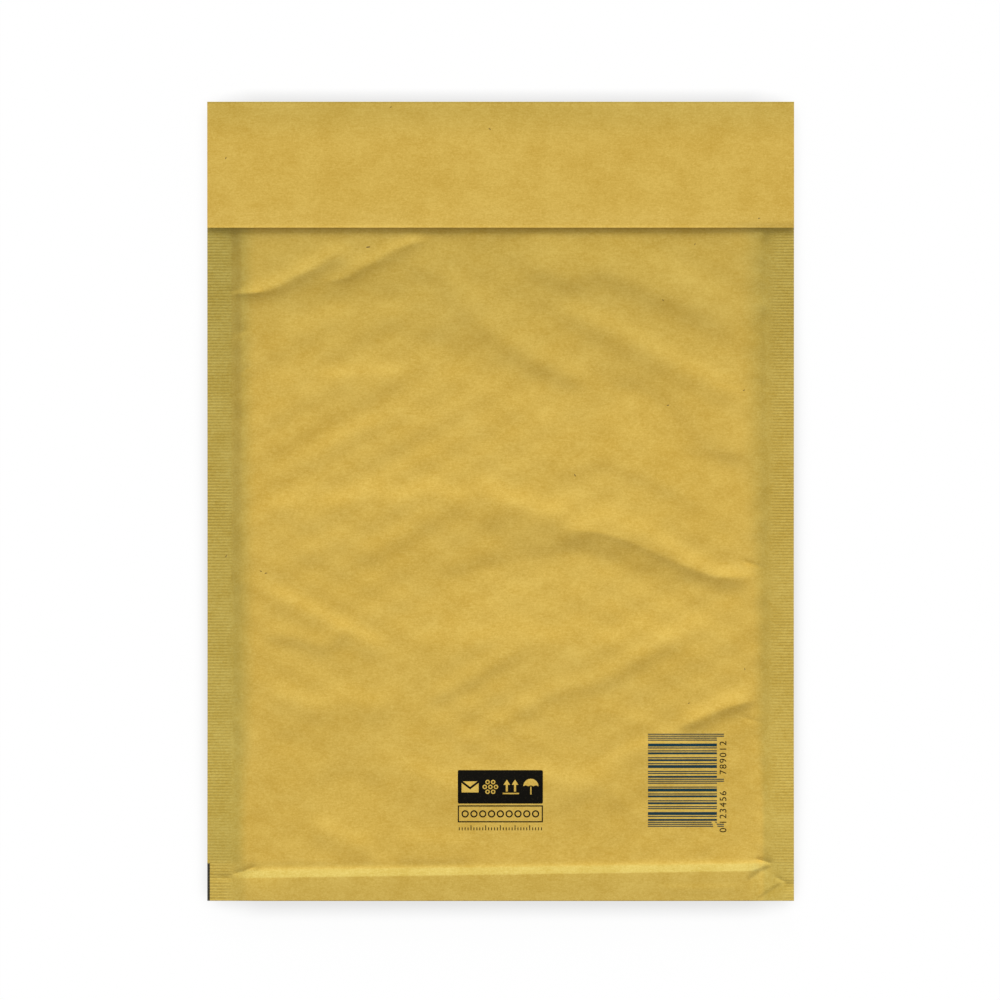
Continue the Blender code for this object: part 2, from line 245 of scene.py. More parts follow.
# What parts of the paper multiply its tone by, in red, green and blue: painted shade in the groove along
# the padding's left edge, a painted sheen on the right end of the fold along the bottom and on the ramp up
# to it, painted shade on the back near the flap and on the flap near the top fold, a painted highlight on
# its free edge, and a thin line of painted shade on the top fold
LEFT_GROOVE_SHADE_TINT = (0.95, 0.915, 0.89)
FOLD_END_SHEEN_TINT = (0.985, 1.01, 1.06)
RAMP_SHEEN_TINT = (0.975, 1.085, 1.33)
NEAR_FLAP_SHADE_TINT = (0.895, 0.92, 0.94)
NEAR_TOP_SHADE_TINT = (0.90, 0.93, 0.96)
FREE_EDGE_HIGHLIGHT_TINT = (1.025, 1.035, 1.1)
TOP_FOLD_SHADE_TINT = (0.69, 0.72, 0.64)

# The camera's place over the envelope, in metres
CAMERA_AT = (-0.00022, 0.00033)

# Regions of the paper, as limits: what is measured, where a limit begins to hold and where it holds fully
POUCH = ("flap", 1.0, 0.0)
BACK = (POUCH, ("up", 0.0, 0.3))
RIGHT = ("x", 0.0, 0.001)
ON_SHELF = ("y", -121.5, -124.5)
ON_RAMP = (("crest", -124.0, -125.2), ("crest", -127.6, -126.9))
IN_LEFT_GROOVE = (("x", -87.6, -89.0), ("x", -92.2, -91.5))

# Dark specks in the paper: place, length and direction in degrees
SPECKS = (
    (-45.2, 86.5, 1.7, 5), (-37.4, 134.2, 0.7, 40), (-3.7, 126.7, 0.9, -30), (-93.6, 116.8, 0.9, 70),
    (88.0, 96.3, 0.8, 20), (66.2, 87.5, 0.7, 80), (55.3, 68.4, 0.7, -50), (57.0, 32.6, 0.9, 15),
    (25.3, 8.8, 1.1, -60), (82.9, 37.7, 0.8, 35), (-81.7, -23.9, 0.9, -20), (-80.0, -24.6, 1.0, 10),
    (-93.6, -18.8, 0.9, 60), (83.2, -57.3, 0.9, -75), (64.1, -68.9, 0.8, 25),
)


def linear(code):
    """Linear red, green and blue of an sRGB hex colour."""
    shares = (int(code[place : place + 2], 16) / 255 for place in (0, 2, 4))
    return tuple(s / 12.92 if s <= 0.04045 else ((s + 0.055) / 1.055) ** 2.4 for s in shares)


def smooth(share):
    """Rise from 0 to 1 with level ends."""
    share = np.clip(share, 0.0, 1.0)
    return share * share * (3.0 - 2.0 * share)


def waver(place, pitch, seed):
    """An irregular, smooth value from -1 to 1 along a line, with a new knot every pitch."""
    knots = np.random.default_rng(seed).uniform(-1.0, 1.0, 1024)
    place = np.asarray(place, float) / pitch + 512.0
    start = np.floor(place).astype(int)
    share = smooth(place - start)
    return knots[start] * (1 - share) + knots[start + 1] * share


def cloud(x, y, pitch, seed):
    """An irregular, smooth value from -1 to 1 over the plane."""
    knots = np.random.default_rng(seed).uniform(-1.0, 1.0, (256, 256))
    across = np.asarray(x, float) / pitch + 128.0
    along = np.asarray(y, float) / pitch + 128.0
    i = np.floor(across).astype(int)
    j = np.floor(along).astype(int)
    u = smooth(across - i)
    v = smooth(along - j)
    near = knots[i, j] * (1 - u) + knots[i + 1, j] * u
    far = knots[i, j + 1] * (1 - u) + knots[i + 1, j + 1] * u
    return near * (1 - v) + far * v


def spot(x, y, middle_x, middle_y, radius_x, radius_y):
    """1 at the middle of a soft round spot, 0 far from it."""
    return np.exp(-(((x - middle_x) / radius_x) ** 2) - ((y - middle_y) / radius_y) ** 2)


def line_through(points, x):
    """Y and slope of the smooth line through these points, at each x. It goes on straight past its ends."""
    px = np.array([point[0] for point in points], float)
    py = np.array([point[1] for point in points], float)
    slopes = np.gradient(py, px) if len(px) > 2 else np.full(2, (py[1] - py[0]) / (px[1] - px[0]))
    inside = np.clip(x, px[0], px[-1])
    i = np.clip(np.searchsorted(px, inside, side="right") - 1, 0, len(px) - 2)
    run = px[i + 1] - px[i]
    t = (inside - px[i]) / run
    y = (2 * t**3 - 3 * t**2 + 1) * py[i] + (3 * t**2 - 2 * t**3) * py[i + 1]
    y += run * ((t**3 - 2 * t**2 + t) * slopes[i] + (t**3 - t**2) * slopes[i + 1])
    beyond = np.where(x < px[0], slopes[0], 0.0) + np.where(x > px[-1], slopes[-1], 0.0)
    slope = 6 * (t - t * t) * (py[i + 1] - py[i]) / run
    slope += (3 * t * t - 4 * t + 1) * slopes[i] + (3 * t * t - 2 * t) * slopes[i + 1]
    return y + beyond * (x - inside), slope


def creases(x, y, table, crisp=False):
    """Height of all creases of a table: each is a bump along its crest that dies away at both ends."""
    total = np.zeros(np.broadcast(x, y).shape)
    for _, height, above, below, *points in table:
        first, last = points[0][0], points[-1][0]
        ends = max(0.28 * (last - first), 2.0)
        taper = smooth((x - first + 0.35 * ends) / ends) * smooth((last + 0.35 * ends - x) / ends)
        crest, slope = line_through(points, x)
        distance = (y - crest) / np.sqrt(1 + slope * slope)
        share = distance / np.where(distance > 0, above, below)
        away = 1.3 * (np.sqrt(share * share + 0.01) - 0.1) if crisp else share * share
        total = total + height * taper * np.exp(-away)
    return total


def bubble_rows(x, y):
    """Relief of the bubbles that shows through the paper: two sets of rows that cross."""
    turns = [2 * pi * (x * nx + y * ny) / pitch + turn for pitch, (nx, ny), turn in BUBBLE_ROWS]
    rising = falling = ROWS_EVERYWHERE
    for strength, *place in RISING_SPOTS:
        rising = rising + strength * spot(x, y, *place)
    for strength, *place in FALLING_SPOTS:
        falling = falling + strength * spot(x, y, *place)
    relief = rising * np.cos(turns[0]) + falling * np.cos(turns[1])
    relief = relief + ROWS_EVERYWHERE * np.cos(turns[0] - turns[1])
    relief = relief * (1 + 0.35 * cloud(x, y, 23.0, 7))
    for rows, strength, turn, *place in OTHER_LAYER:
        relief = relief + strength * spot(x, y, *place) * np.cos(turns[rows] + turn)
    return relief


def crest_line(x):
    """Y of the crisp line where the ramp meets the shelf: it tilts, and turns up at the right end."""
    return CREST_Y + CREST_TILT * x + 2.4 * smooth((x - 84.2) / 9.6)


def corner_share(y):
    """0 along most of the length, 1 at the bottom corners."""
    return smooth((CORNER_RISE_START - y) / CORNER_RISE_LENGTH)


def shelf(x, y):
    """The raised fold along the bottom, over the panel: a slightly rounded ramp with a hollow foot."""
    end = np.clip((-81.3 - x) / 9.9, 0, 1) + np.clip((x - 86.5) / 6.5, 0, 1)
    straight = RAMP_STRAIGHT * (1 - 0.95 * end)
    fillet = RAMP_FILLET * (1 - 0.9 * np.sqrt(end))
    up = y - crest_line(x)
    swell = (CREST_SWELL + 0.55 * smooth((-68.0 - x) / 14.0)) * (1 - np.exp(np.minimum(up, 0) / 3.0))
    left = np.clip(straight - up, 0, straight)
    on_ramp = RAMP_PITCH * (left - 0.1 * left * left / straight)
    foot = np.clip(1 - (up - straight) / fillet, 0, 1)
    return on_ramp + RAMP_PITCH * fillet / 4 * foot**4 + swell


def corner_drop(y, radius):
    """How far a corner of this radius falls away near the bottom end."""
    inside = np.clip(BOTTOM_END + radius - y, 0, radius)
    return radius - np.sqrt(np.maximum(radius * radius - inside * inside, 0))


def seam_middle(x, y):
    """Height of the middle of the side seams."""
    rise = SEAM_RISE * smooth((y - SEAM_RISE_START) / SEAM_RISE_LENGTH)
    side = np.where(np.asarray(x) < 0, waver(y, 41.0, 21), waver(y, 37.0, 22))
    return SEAM_LEVEL + rise + CORNER_RISE * corner_share(y) + 0.18 * side


def weld_line(x, y):
    """The padding's edge sinks beside the seams where they lie high."""
    inside = SEAM_INNER - np.abs(x)
    depth = 0.2 + 0.35 * smooth((y - SEAM_RISE_START) / 90)
    depth = depth + np.where(x < 0, 0.2, 0.15) * smooth((y - 10) / 50)
    ends = smooth((97 - y) / np.where(x < 0, 14, 9)) * smooth((y + 120) / 24)
    return -depth * np.exp(-(((inside - 1.3) / 1.3) ** 2)) * ends


def seam_shape(x, y):
    """What bends both layers of a seam: the sunk edge, the folds, and the right corner's lifted tip."""
    lift = 0.9 * smooth((x - 85.0) / 5.0) * np.exp(-(((y + 137.5) / 6.5) ** 2))
    folds = creases(x, y, EDGE_CREASES) + creases(x, y, EDGE_FOLDS, crisp=True)
    return weld_line(x, y) + lift + folds


def seam_start(x, y):
    """How far from the middle the seam begins: further out at the right bottom corner."""
    return SEAM_INNER + np.where(x > 0, 3.4 * smooth((-120.5 - y) / 3.5), 0.0)


def padding_share(x, y, widths, seed):
    """0 on the side seams, 1 on the padded panel, and rounded like a pillow's edge between them."""
    width = np.where(x < 0, widths[0], widths[1])
    width = width * (1 + np.where(x < 0, 0.12 * waver(y, 21.0, seed), 0.12 * waver(y, 17.0, seed + 1)))
    share = np.clip((seam_start(x, y) - np.abs(x)) / width, 0, 1)
    return 1 - (1 - share) ** 2


def puckers(x, y, seed):
    """Short wrinkles that cross the padding's edge beside the seams."""
    inside = SEAM_INNER - np.abs(x)
    along = y + np.where(x < 0, 300.0, -300.0)
    window = smooth(inside / 1.4) * (1 - smooth((inside - 2.5) / 5.5))
    coarse = waver(along + 0.7 * inside, 6.1, seed)
    fine = waver(along - 0.5 * inside, 2.7, seed + 1)
    return window * (0.16 * coarse + 0.09 * fine)


def ribs(x, y, pitch, depth):
    """Cross ribs that the sealing jaws press into the seams."""
    right = smooth((x - 91.6 - 3.6 * smooth((-123.0 - y) / 3.0)) / 2.6)
    left = smooth((-x - 91.4) / 0.9)
    stronger = 0.15 * np.exp(-(((y - 42) / 35) ** 2)) - 0.17 * smooth((-60 - y) / 60)
    weaker = -0.22 * np.exp(-(((y + 109) / 16) ** 2))
    strength = 0.75 + 0.25 * waver(y, 16.0, 31) + np.where(x > 0, stronger, weaker)
    return depth * np.cos(2 * pi * y / pitch) * strength * np.where(x < 0, left, right)


def back_surface(x, y):
    """Height of the back panel and of the upper side of the seams."""
    x = np.asarray(x, float)
    y = np.asarray(y, float)
    envelope = bpy.context.scene.envelope_cover
    open_part = smooth((94.0 - y) / 6.0)
    over_ramp = smooth((y - crest_line(x) - 1.5) / 5.0)
    relief = creases(x, y, PANEL_CREASES) + creases(x, y, PANEL_FOLDS, crisp=True)
    relief = relief + 0.1 * cloud(x, y, 14.0, 3) + bubble_rows(x, y)
    relief = relief * envelope.relief * (0.12 + 0.88 * open_part) * over_ramp
    shelf_waves = 0.035 * cloud(x, y, 9.0, 4) * (1 - over_ramp)
    sunk = 0.5 * smooth((-60 - y) / 60) + 1.2 * smooth((np.abs(x) - 40) / 52) * smooth((-20 - y) / 105)
    panel = PANEL_TOP - sunk + relief + shelf(x, y) + shelf_waves - corner_drop(y, SHELF_EDGE_RADIUS)
    seam = seam_middle(x, y) + SEAM_HALF
    share = padding_share(x, y, BACK_SLOPES, 41)
    height = seam + (panel - seam) * share + puckers(x, y, 51) + seam_shape(x, y)
    return height + ribs(x, y, envelope.rib_pitch / MM, envelope.rib_depth / MM)


def front_surface(x, y):
    """Height of the front panel, which lies on the table, and of the lower side of the seams."""
    x = np.asarray(x, float)
    y = np.asarray(y, float)
    envelope = bpy.context.scene.envelope_cover
    turns = [2 * pi * (x * nx - y * ny) / pitch for pitch, (nx, ny), _ in BUBBLE_ROWS]
    relief = 0.06 + 0.03 * (np.cos(turns[0]) + np.cos(turns[1])) + 0.3 * np.maximum(cloud(x, y, 26.0, 6), 0)
    panel = np.maximum(relief, 0.0) * envelope.relief + corner_drop(y, BOTTOM_FOLD_RADIUS)
    seam = seam_middle(x, y) - SEAM_HALF
    wider = 1 + 1.2 * corner_share(y)
    share = padding_share(x, y, [width * wider for width in FRONT_SLOPES], 43)
    height = seam + (panel - seam) * share - puckers(x, y, 55) + seam_shape(x, y) * (1 - share)
    return np.maximum(height, 0.0) + ribs(x, y, envelope.rib_pitch / MM, envelope.rib_depth / MM)


def seam_line(x, y):
    """Height half-way between the two panels, which meet there inside a side seam."""
    return (back_surface(x, y) + front_surface(x, y)) / 2


def flap_surface(x, y):
    """Height of the flap's outer side, past the top fold."""
    x = np.asarray(x, float)
    y = np.asarray(y, float)
    away = smooth((TOP_END - y) / 12.0)
    relief = 0.045 * cloud(x, y, 17.0, 8) + 0.02 * cloud(x, y, 6.0, 9) + creases(x, y, FLAP_CREASES)
    edge = y - FLAP_EDGE
    slope = np.clip((TOP_END - y) / (TOP_END - FLAP_EDGE), 0, 1)
    curl = 0.12 * np.clip(1 - edge / 0.8, 0, 1) - 0.03 * slope
    corner = smooth((np.abs(x) - 84) / 15) * smooth((124 - y) / 31)
    turned_down = 0.35 * smooth((x - 70) / 20) * np.clip(1 - edge / 1.4, 0, 1)
    return FLAP_TOP + away * relief + curl - np.where(x > 0, 0.2, 0.7) * corner - turned_down


class Sheet:
    """The vertices and faces of one mesh while it is made, in millimetres."""

    def __init__(self):
        self.blocks = []
        self.count = 0
        self.faces = []

    def add(self, x, y, z):
        """Add vertices and return their numbers, in the arrays' own shape."""
        x, y, z = np.broadcast_arrays(x, y, z)
        self.blocks.append(np.stack((x, y, z), axis=-1).reshape(-1, 3))
        numbers = np.arange(self.count, self.count + x.size).reshape(x.shape)
        self.count += x.size
        return numbers

    def surface(self, columns, rows, height):
        """A grid of vertices on a height function: numbers by column and row."""
        x, y = np.meshgrid(np.asarray(columns, float), np.asarray(rows, float), indexing="ij")
        return self.add(x, y, height(x, y))

    def grid(self, numbers):
        """Faces between all neighbouring vertices of a grid."""
        corners = (numbers[:-1, :-1], numbers[1:, :-1], numbers[1:, 1:], numbers[:-1, 1:])
        self.faces += np.stack([corner.ravel() for corner in corners], axis=1).tolist()

    def face(self, *corners):
        """One face, with corners that are the same vertex left out."""
        kept = []
        for corner in corners:
            if int(corner) not in kept:
                kept.append(int(corner))
        if len(kept) > 2:
            self.faces.append(kept)

    def join(self, first, second, first_at, second_at):
        """Faces between two lines of vertices, matched by their rising places along the line."""
        i = j = 0
        while i < len(first) - 1 or j < len(second) - 1:
            near = first_at[i + 1] if i < len(first) - 1 else np.inf
            far = second_at[j + 1] if j < len(second) - 1 else np.inf
            if abs(near - far) < 1e-6:
                self.face(first[i], first[i + 1], second[j + 1], second[j])
                i += 1
                j += 1
            elif near < far:
                self.face(first[i], first[i + 1], second[j])
                i += 1
            else:
                self.face(first[i], second[j + 1], second[j])
                j += 1

    def finish(self, name, *materials):
        """The mesh as an object in metres, with its normals outwards and its sharp edges marked."""
        mesh = bpy.data.meshes.new(name)
        mesh.from_pydata((np.concatenate(self.blocks) * MM).tolist(), [], self.faces)
        bm = bmesh.new()
        bm.from_mesh(mesh)
        bmesh.ops.recalc_face_normals(bm, faces=bm.faces)
        open_edges = sum(not edge.is_manifold for edge in bm.edges)
        bm.to_mesh(mesh)
        bm.free()
        if open_edges:
            raise RuntimeError(f"{name} has {open_edges} open edges")
        mesh.shade_smooth()
        mesh.set_sharp_from_angle(angle=radians(42))
        for material in materials:
            mesh.materials.append(material)
        thing = bpy.data.objects.new(name, mesh)
        bpy.context.scene.collection.objects.link(thing)
        return thing


def steps_to(start, end, step):
    """Even places from start to end, both included, about a step apart."""
    return np.linspace(start, end, max(2, round(abs(end - start) / step) + 1))


def mirrored(places):
    """Rising places on both sides of 0, from those on the positive side without 0."""
    places = np.asarray(places, float)
    return np.concatenate((-places[::-1], [0.0], places))


def fold_profile(x, paper):
    """Outer and inner line, in Y and Z, of the paper from the mouth over the top fold to its free edge."""
    fold_y = TOP_END - FOLD_RADIUS
    top = flap_surface(x, TOP_END)
    fold_z = top - FOLD_RADIUS
    arc_y = fold_y + FOLD_RADIUS * sin(FOLD_ANGLE)
    base = front_surface(x, MOUTH)
    run = arc_y - MOUTH
    rise = fold_z - FOLD_RADIUS * cos(FOLD_ANGLE) - base
    power = tan(FOLD_ANGLE) * run / rise
    outer = []
    inner = []
    for share in steps_to(0, 1, 0.1)[1:-1]:
        slope = power * rise * share ** (power - 1) / run
        tilt = np.sqrt(1 + slope * slope)
        y = MOUTH + run * share
        z = base + rise * share**power
        outer.append((y + 0 * x, z))
        inner.append((y - paper * slope / tilt, z + paper / tilt))
    for turn in steps_to(FOLD_ANGLE, pi, 0.3):
        for line, radius in ((outer, FOLD_RADIUS), (inner, FOLD_RADIUS - paper)):
            line.append((fold_y + radius * sin(turn) + 0 * x, fold_z - radius * cos(turn)))
    near_edge = FLAP_EDGE + np.array((0.8, 0.4, 0.0))
    for y in np.concatenate((steps_to(fold_y, FLAP_EDGE + 1.2, 1.5)[1:], near_edge)):
        z = flap_surface(x, y)
        outer.append((y + 0 * x, z))
        inner.append((y + 0 * x, z - paper))
    return outer, inner


def tilted(x, y):
    """Y of a place in a row, because rows near the bottom lean with the ramp's crest."""
    window = smooth((y - BOTTOM_END - 0.5) / 6.5) * smooth((-115.0 - y) / 8.0)
    return y + (crest_line(x) - CREST_Y) * window * smooth((92.5 - np.abs(x)) / 6.0)


def near_heights(x, y, surface, low):
    """Heights of a surface at this place and up to half-way to the inner side's next rows."""
    # Those rows are 1 mm apart under the left top fold and near the bottom, and 4 mm elsewhere
    reach = np.where((y < -120.2) | (np.abs(y - 71.0) < 4.5), 0.6, 2.0)
    return [surface(x, np.clip(y + step * reach, low, MOUTH)) for step in (-1.0, -0.5, 0.0, 0.5, 1.0)]


class Cover(Sheet):
    """The kraft paper in one piece: pouch, side seams, top fold and flap.

    Lines that later parts join on to are kept in pairs, left and right.
    """

    def __init__(self, settings):
        super().__init__()
        self.paper = settings.paper_thickness / MM
        self.choose_rows(settings.rib_pitch / MM / RIB_STEPS)
        self.choose_columns()
        self.add_outside()
        self.add_inside()
        self.add_bottom_end()
        self.add_neck_and_flap()
        self.add_mouth_and_seam_edges()

    def choose_rows(self, rib_step):
        """Places along the length: each rib's on the seams, and fewer of them on the panels."""
        corner = BOTTOM_END + SHELF_EDGE_RADIUS * (1 - np.sin(np.radians((0, 22.5, 45, 67.5, 90))))
        rows = np.concatenate((steps_to(MOUTH, corner[0], rib_step), corner[1:]))
        number = np.arange(len(rows))
        every = np.ones(len(rows), int)
        for low, high, step in BACK_ROW_STEPS:
            every = np.where((rows > low) & (rows < high), step, every)
        self.rows = rows
        self.back_rows = rows[number % every == 0]
        self.front_rows = rows[number % np.where(rows > FRONT_LOW, FRONT_ROW_STEP, 1) == 0]

    def choose_columns(self):
        """Places across the width: close together on the padding's edge and wider apart in the middle.

        They are closest in the low band, which has the shelf and the corners' pleats.
        """
        slope = steps_to(80.6, 91.0, 0.8)
        self.back_columns = mirrored(np.concatenate((steps_to(0, 79.2, 1.6)[1:], slope)))
        self.low_columns = mirrored(np.concatenate((steps_to(0, 80.0, 1.2)[1:], steps_to(80.5, 91.3, 0.5))))
        self.front_columns = mirrored(np.concatenate((steps_to(0, 78.9, 2.8)[1:], slope)))
        self.back_at, self.low_at, self.front_at = (
            np.concatenate(((-SEAM_INNER,), places, (SEAM_INNER,)))
            for places in (self.back_columns, self.low_columns, self.front_columns)
        )
        left = -np.array((SEAM_INNER, 93.6, -MARK_X, HALF_WIDTH))[::-1]
        self.back_edges = left, np.array((SEAM_INNER, 93.6, 96.6, HALF_WIDTH))
        self.low_edges = left, np.concatenate((steps_to(SEAM_INNER, 98.0, 0.55), (HALF_WIDTH,)))
        edge = np.array((SEAM_INNER, 96.0, HALF_WIDTH))
        self.front_edges = -edge[::-1], edge

    def banded(self, columns, low_columns, rows, height):
        """A surface in two grids, above and in the low band: its left, right, upper and lower line."""
        parts = []
        for places, kept in ((columns, rows > LOW_BAND), (low_columns, rows <= LOW_BAND)):
            x, y = np.meshgrid(places, rows[kept], indexing="ij")
            y = tilted(x, y)
            parts.append(self.add(x, y, height(x, y)))
            self.grid(parts[-1])
        upper, lower = parts
        self.join(upper[:, -1], lower[:, 0], columns, low_columns)
        left, right = (np.concatenate((upper[side], lower[side])) for side in (0, -1))
        return left, right, upper[:, 0], lower[:, -1]

    def seams(self, panel_left, panel_right, panel_rows, edges, height):
        """Both seams beside a panel: the pairs of their outer lines, their upper and their lower ends."""
        left = self.banded(edges[0], self.low_edges[0], self.rows, height)
        self.join(left[1], panel_left, -self.rows, -panel_rows)
        right = self.banded(edges[1], self.low_edges[1], self.rows, height)
        self.join(panel_right, right[0], -panel_rows, -self.rows)
        return (left[0], right[1]), (left[2], right[2]), (left[3], right[3])

    def add_outside(self):
        """The back panel and the upper side of the seams, then the front panel and their lower side."""
        back = self.banded(self.back_columns, self.low_columns, self.back_rows, back_surface)
        left, right, self.back_top, self.back_low = back
        upper = self.seams(left, right, self.back_rows, self.back_edges, back_surface)
        self.upper_outer, self.upper_tops, self.upper_lows = upper
        panel = self.surface(self.front_columns, self.front_rows, front_surface)
        self.grid(panel)
        self.front_top, self.front_low = panel[:, 0], panel[:, -1]
        under = self.seams(panel[0], panel[-1], self.front_rows, self.front_edges, front_surface)
        self.under_outer, self.under_tops, self.under_lows = under

    def under_back(self, x, y):
        """A paper's thickness under the lowest of the near places, so that no hollow breaks through."""
        near = near_heights(x, y, back_surface, BOTTOM_END + 0.3)
        return np.minimum.reduce([*near, back_surface(x, y)]) - self.paper

    def over_front(self, x, y):
        """A paper's thickness over the highest of the near places."""
        return np.maximum.reduce(near_heights(x, y, front_surface, BOTTOM_END)) + self.paper

    def add_inside(self):
        """The inner side of both panels, which meet in one line at each seam."""
        parts = [steps_to(MOUTH, 76.0, 4.0), steps_to(75.0, 67.0, 1.0), steps_to(64.0, -120.0, 4.0)]
        parts += [steps_to(-120.5, BOTTOM_END + 0.5, 1.0), [BOTTOM_END + self.paper]]
        rows = np.concatenate(parts)
        back = self.surface(self.front_columns, rows, self.under_back)
        front = self.surface(self.front_columns, rows, self.over_front)
        left, right = self.surface((-SEAM_INNER, SEAM_INNER), rows, seam_line)
        back, front = (np.vstack((left, side, right)) for side in (back, front))
        self.grid(back)
        self.grid(front)
        self.join(back[:, -1], front[:, -1], self.front_at, self.front_at)
        self.back_in_top, self.front_in_top = back[:, 0], front[:, 0]

    def add_bottom_end(self):
        """The bottom end's wall, with one row of vertices half-way that bulges out."""
        columns = self.front_columns
        bulge = BOTTOM_END - 0.04 - 0.03 * waver(columns, 7.0, 61)
        middle = self.add(columns, bulge, seam_line(columns, BOTTOM_END))
        left, right = self.upper_lows
        under_left, under_right = self.under_lows
        back_chain = np.concatenate((left[-1:], self.back_low, right[:1]))
        middle_chain = np.concatenate((left[-1:], middle, right[:1]))
        front_chain = np.concatenate((under_left[-1:], self.front_low, under_right[:1]))
        self.join(back_chain, middle_chain, self.low_at, self.front_at)
        self.join(middle_chain, front_chain, self.front_at, self.front_at)
        self.join(left, under_left, self.low_edges[0], self.low_edges[0])
        self.join(right, under_right, self.low_edges[1], self.low_edges[1])

    def add_neck_and_flap(self):
        """Past the mouth the front panel goes on over the top fold and back as the flap."""
        left, right = self.front_edges
        columns = np.concatenate((left, self.front_columns, right))
        outer, inner = fold_profile(columns, self.paper)
        out_start = np.concatenate((self.under_tops[0], self.front_top, self.under_tops[1]))
        starts = [self.add(x, MOUTH, front_surface(x, MOUTH) + self.paper) for x in (left[:-1], right[1:])]
        self.in_start = np.concatenate((starts[0], self.front_in_top, starts[1]))
        outside = np.vstack([out_start] + [self.add(columns, y, z) for y, z in outer])
        inside = np.vstack([self.in_start] + [self.add(columns, y, z) for y, z in inner])
        self.grid(outside)
        self.grid(inside)
        lines = np.arange(len(outside))
        for side in (0, -1):
            self.join(outside[:, side], inside[:, side], lines, lines)
        self.join(outside[-1], inside[-1], columns, columns)

    def add_mouth_and_seam_edges(self):
        """The cut edges of the mouth, of the seams' ends and along the seams."""
        left, right = self.upper_tops
        mouth = np.concatenate((left[-1:], self.back_top, right[:1]))
        self.join(mouth, self.back_in_top, self.back_at, self.front_at)
        count = len(self.front_edges[0])
        self.join(left, self.in_start[:count], self.back_edges[0], self.front_edges[0])
        self.join(right, self.in_start[-count:], self.back_edges[1], self.front_edges[1])
        for side in (0, -1):
            top, low = self.upper_outer[side], self.under_outer[side]
            self.face(top[0], top[1], low[1], low[0], self.in_start[side])
            self.join(top[1:], low[1:], -self.rows[1:], -self.rows[1:])


def outline_faces(outlines):
    """A flat mesh of closed outlines in millimetres; an outline inside another is a hole, and so on."""
    curve = bpy.data.curves.new("outline", "CURVE")
    curve.dimensions = "2D"
    curve.fill_mode = "BOTH"
    for points in outlines:
        spline = curve.splines.new("POLY")
        spline.points.add(len(points) - 1)
        for place, point in zip(spline.points, points):
            place.co = (*point, 0, 1)
        spline.use_cyclic_u = True
    return faces_of(curve)


def faces_of(curve):
    """A filled curve or text as a bmesh."""
    holder = bpy.data.objects.new("outline", curve)
    bpy.context.scene.collection.objects.link(holder)
    drawn = holder.evaluated_get(bpy.context.evaluated_depsgraph_get())
    bm = bmesh.new()
    bm.from_mesh(drawn.to_mesh())
    drawn.to_mesh_clear()
    bpy.data.objects.remove(holder)
    bpy.data.curves.remove(curve)
    bmesh.ops.remove_doubles(bm, verts=bm.verts, dist=1e-5)
    return bm


def ring(middle_x, middle_y, radius, count=20):
    """Points of a circle."""
    turns = [2 * pi * step / count for step in range(count)]
    return [(middle_x + radius * cos(turn), middle_y + radius * sin(turn)) for turn in turns]


def box_outline(left, low, right, high, corner=0.0):
    """Points of a rectangle, with its corners cut round where they have a radius."""
    if not corner:
        return [(left, low), (right, low), (right, high), (left, high)]
    points = []
    for middle_x, middle_y, start in (
        (right - corner, low + corner, -90),
        (right - corner, high - corner, 0),
        (left + corner, high - corner, 90),
        (left + corner, low + corner, 180),
    ):
        for turn in (0, 30, 60, 90):
            angle = radians(start + turn)
            points.append((middle_x + corner * cos(angle), middle_y + corner * sin(angle)))
    return points


def moved(points, dx, dy):
    """An outline at another place."""
    return [(x + dx, y + dy) for x, y in points]


def laid_on_paper(bm, surface, lift, cell=1.5):
    """Cut a flat bmesh in small cells and lay it on a height function, with its underside in the paper."""
    for axis in (0, 1):
        places = [vert.co[axis] for vert in bm.verts]
        normal = [0.0, 0.0, 0.0]
        normal[axis] = 1.0
        for place in np.arange(np.ceil(min(places) / cell) * cell, max(places), cell):
            point = [0.0, 0.0, 0.0]
            point[axis] = float(place)
            geometry = bm.verts[:] + bm.edges[:] + bm.faces[:]
            bmesh.ops.bisect_plane(bm, geom=geometry, dist=1e-5, plane_co=point, plane_no=normal)
    bmesh.ops.triangulate(bm, faces=bm.faces)
    places = np.array([vert.co[:2] for vert in bm.verts])
    heights = surface(places[:, 0], places[:, 1]) + lift
    grown = bmesh.ops.extrude_face_region(bm, geom=bm.faces[:], use_keep_orig=True)
    tops = [item for item in grown["geom"] if isinstance(item, bmesh.types.BMVert)]
    flat = {(round(x, 4), round(y, 4)): height for (x, y), height in zip(places, heights)}
    raised = set(tops)
    for vert in bm.verts:
        height = flat[(round(vert.co.x, 4), round(vert.co.y, 4))]
        vert.co.z = height if vert in raised else height - 2.5 * lift
    bmesh.ops.recalc_face_normals(bm, faces=bm.faces)
    bmesh.ops.scale(bm, vec=(MM, MM, MM), verts=bm.verts)
    return bm


def object_from(bm, name, material):
    """A bmesh as an object of the scene."""
    mesh = bpy.data.meshes.new(name)
    bm.to_mesh(mesh)
    bm.free()
    mesh.materials.append(material)
    thing = bpy.data.objects.new(name, mesh)
    bpy.context.scene.collection.objects.link(thing)
    return thing


def merged(parts):
    """Several bmeshes as one."""
    whole = bmesh.new()
    for part in parts:
        mesh = bpy.data.meshes.new("part")
        part.to_mesh(mesh)
        part.free()
        whole.from_mesh(mesh)
        bpy.data.meshes.remove(mesh)
    return whole


def declare(piece, slot, *nodes):
    """Say what a piece rides on, and hide the parts of the model that it stands for; the slot is not used.
    """
    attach(piece, "root")
    if nodes:
        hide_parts(*nodes)


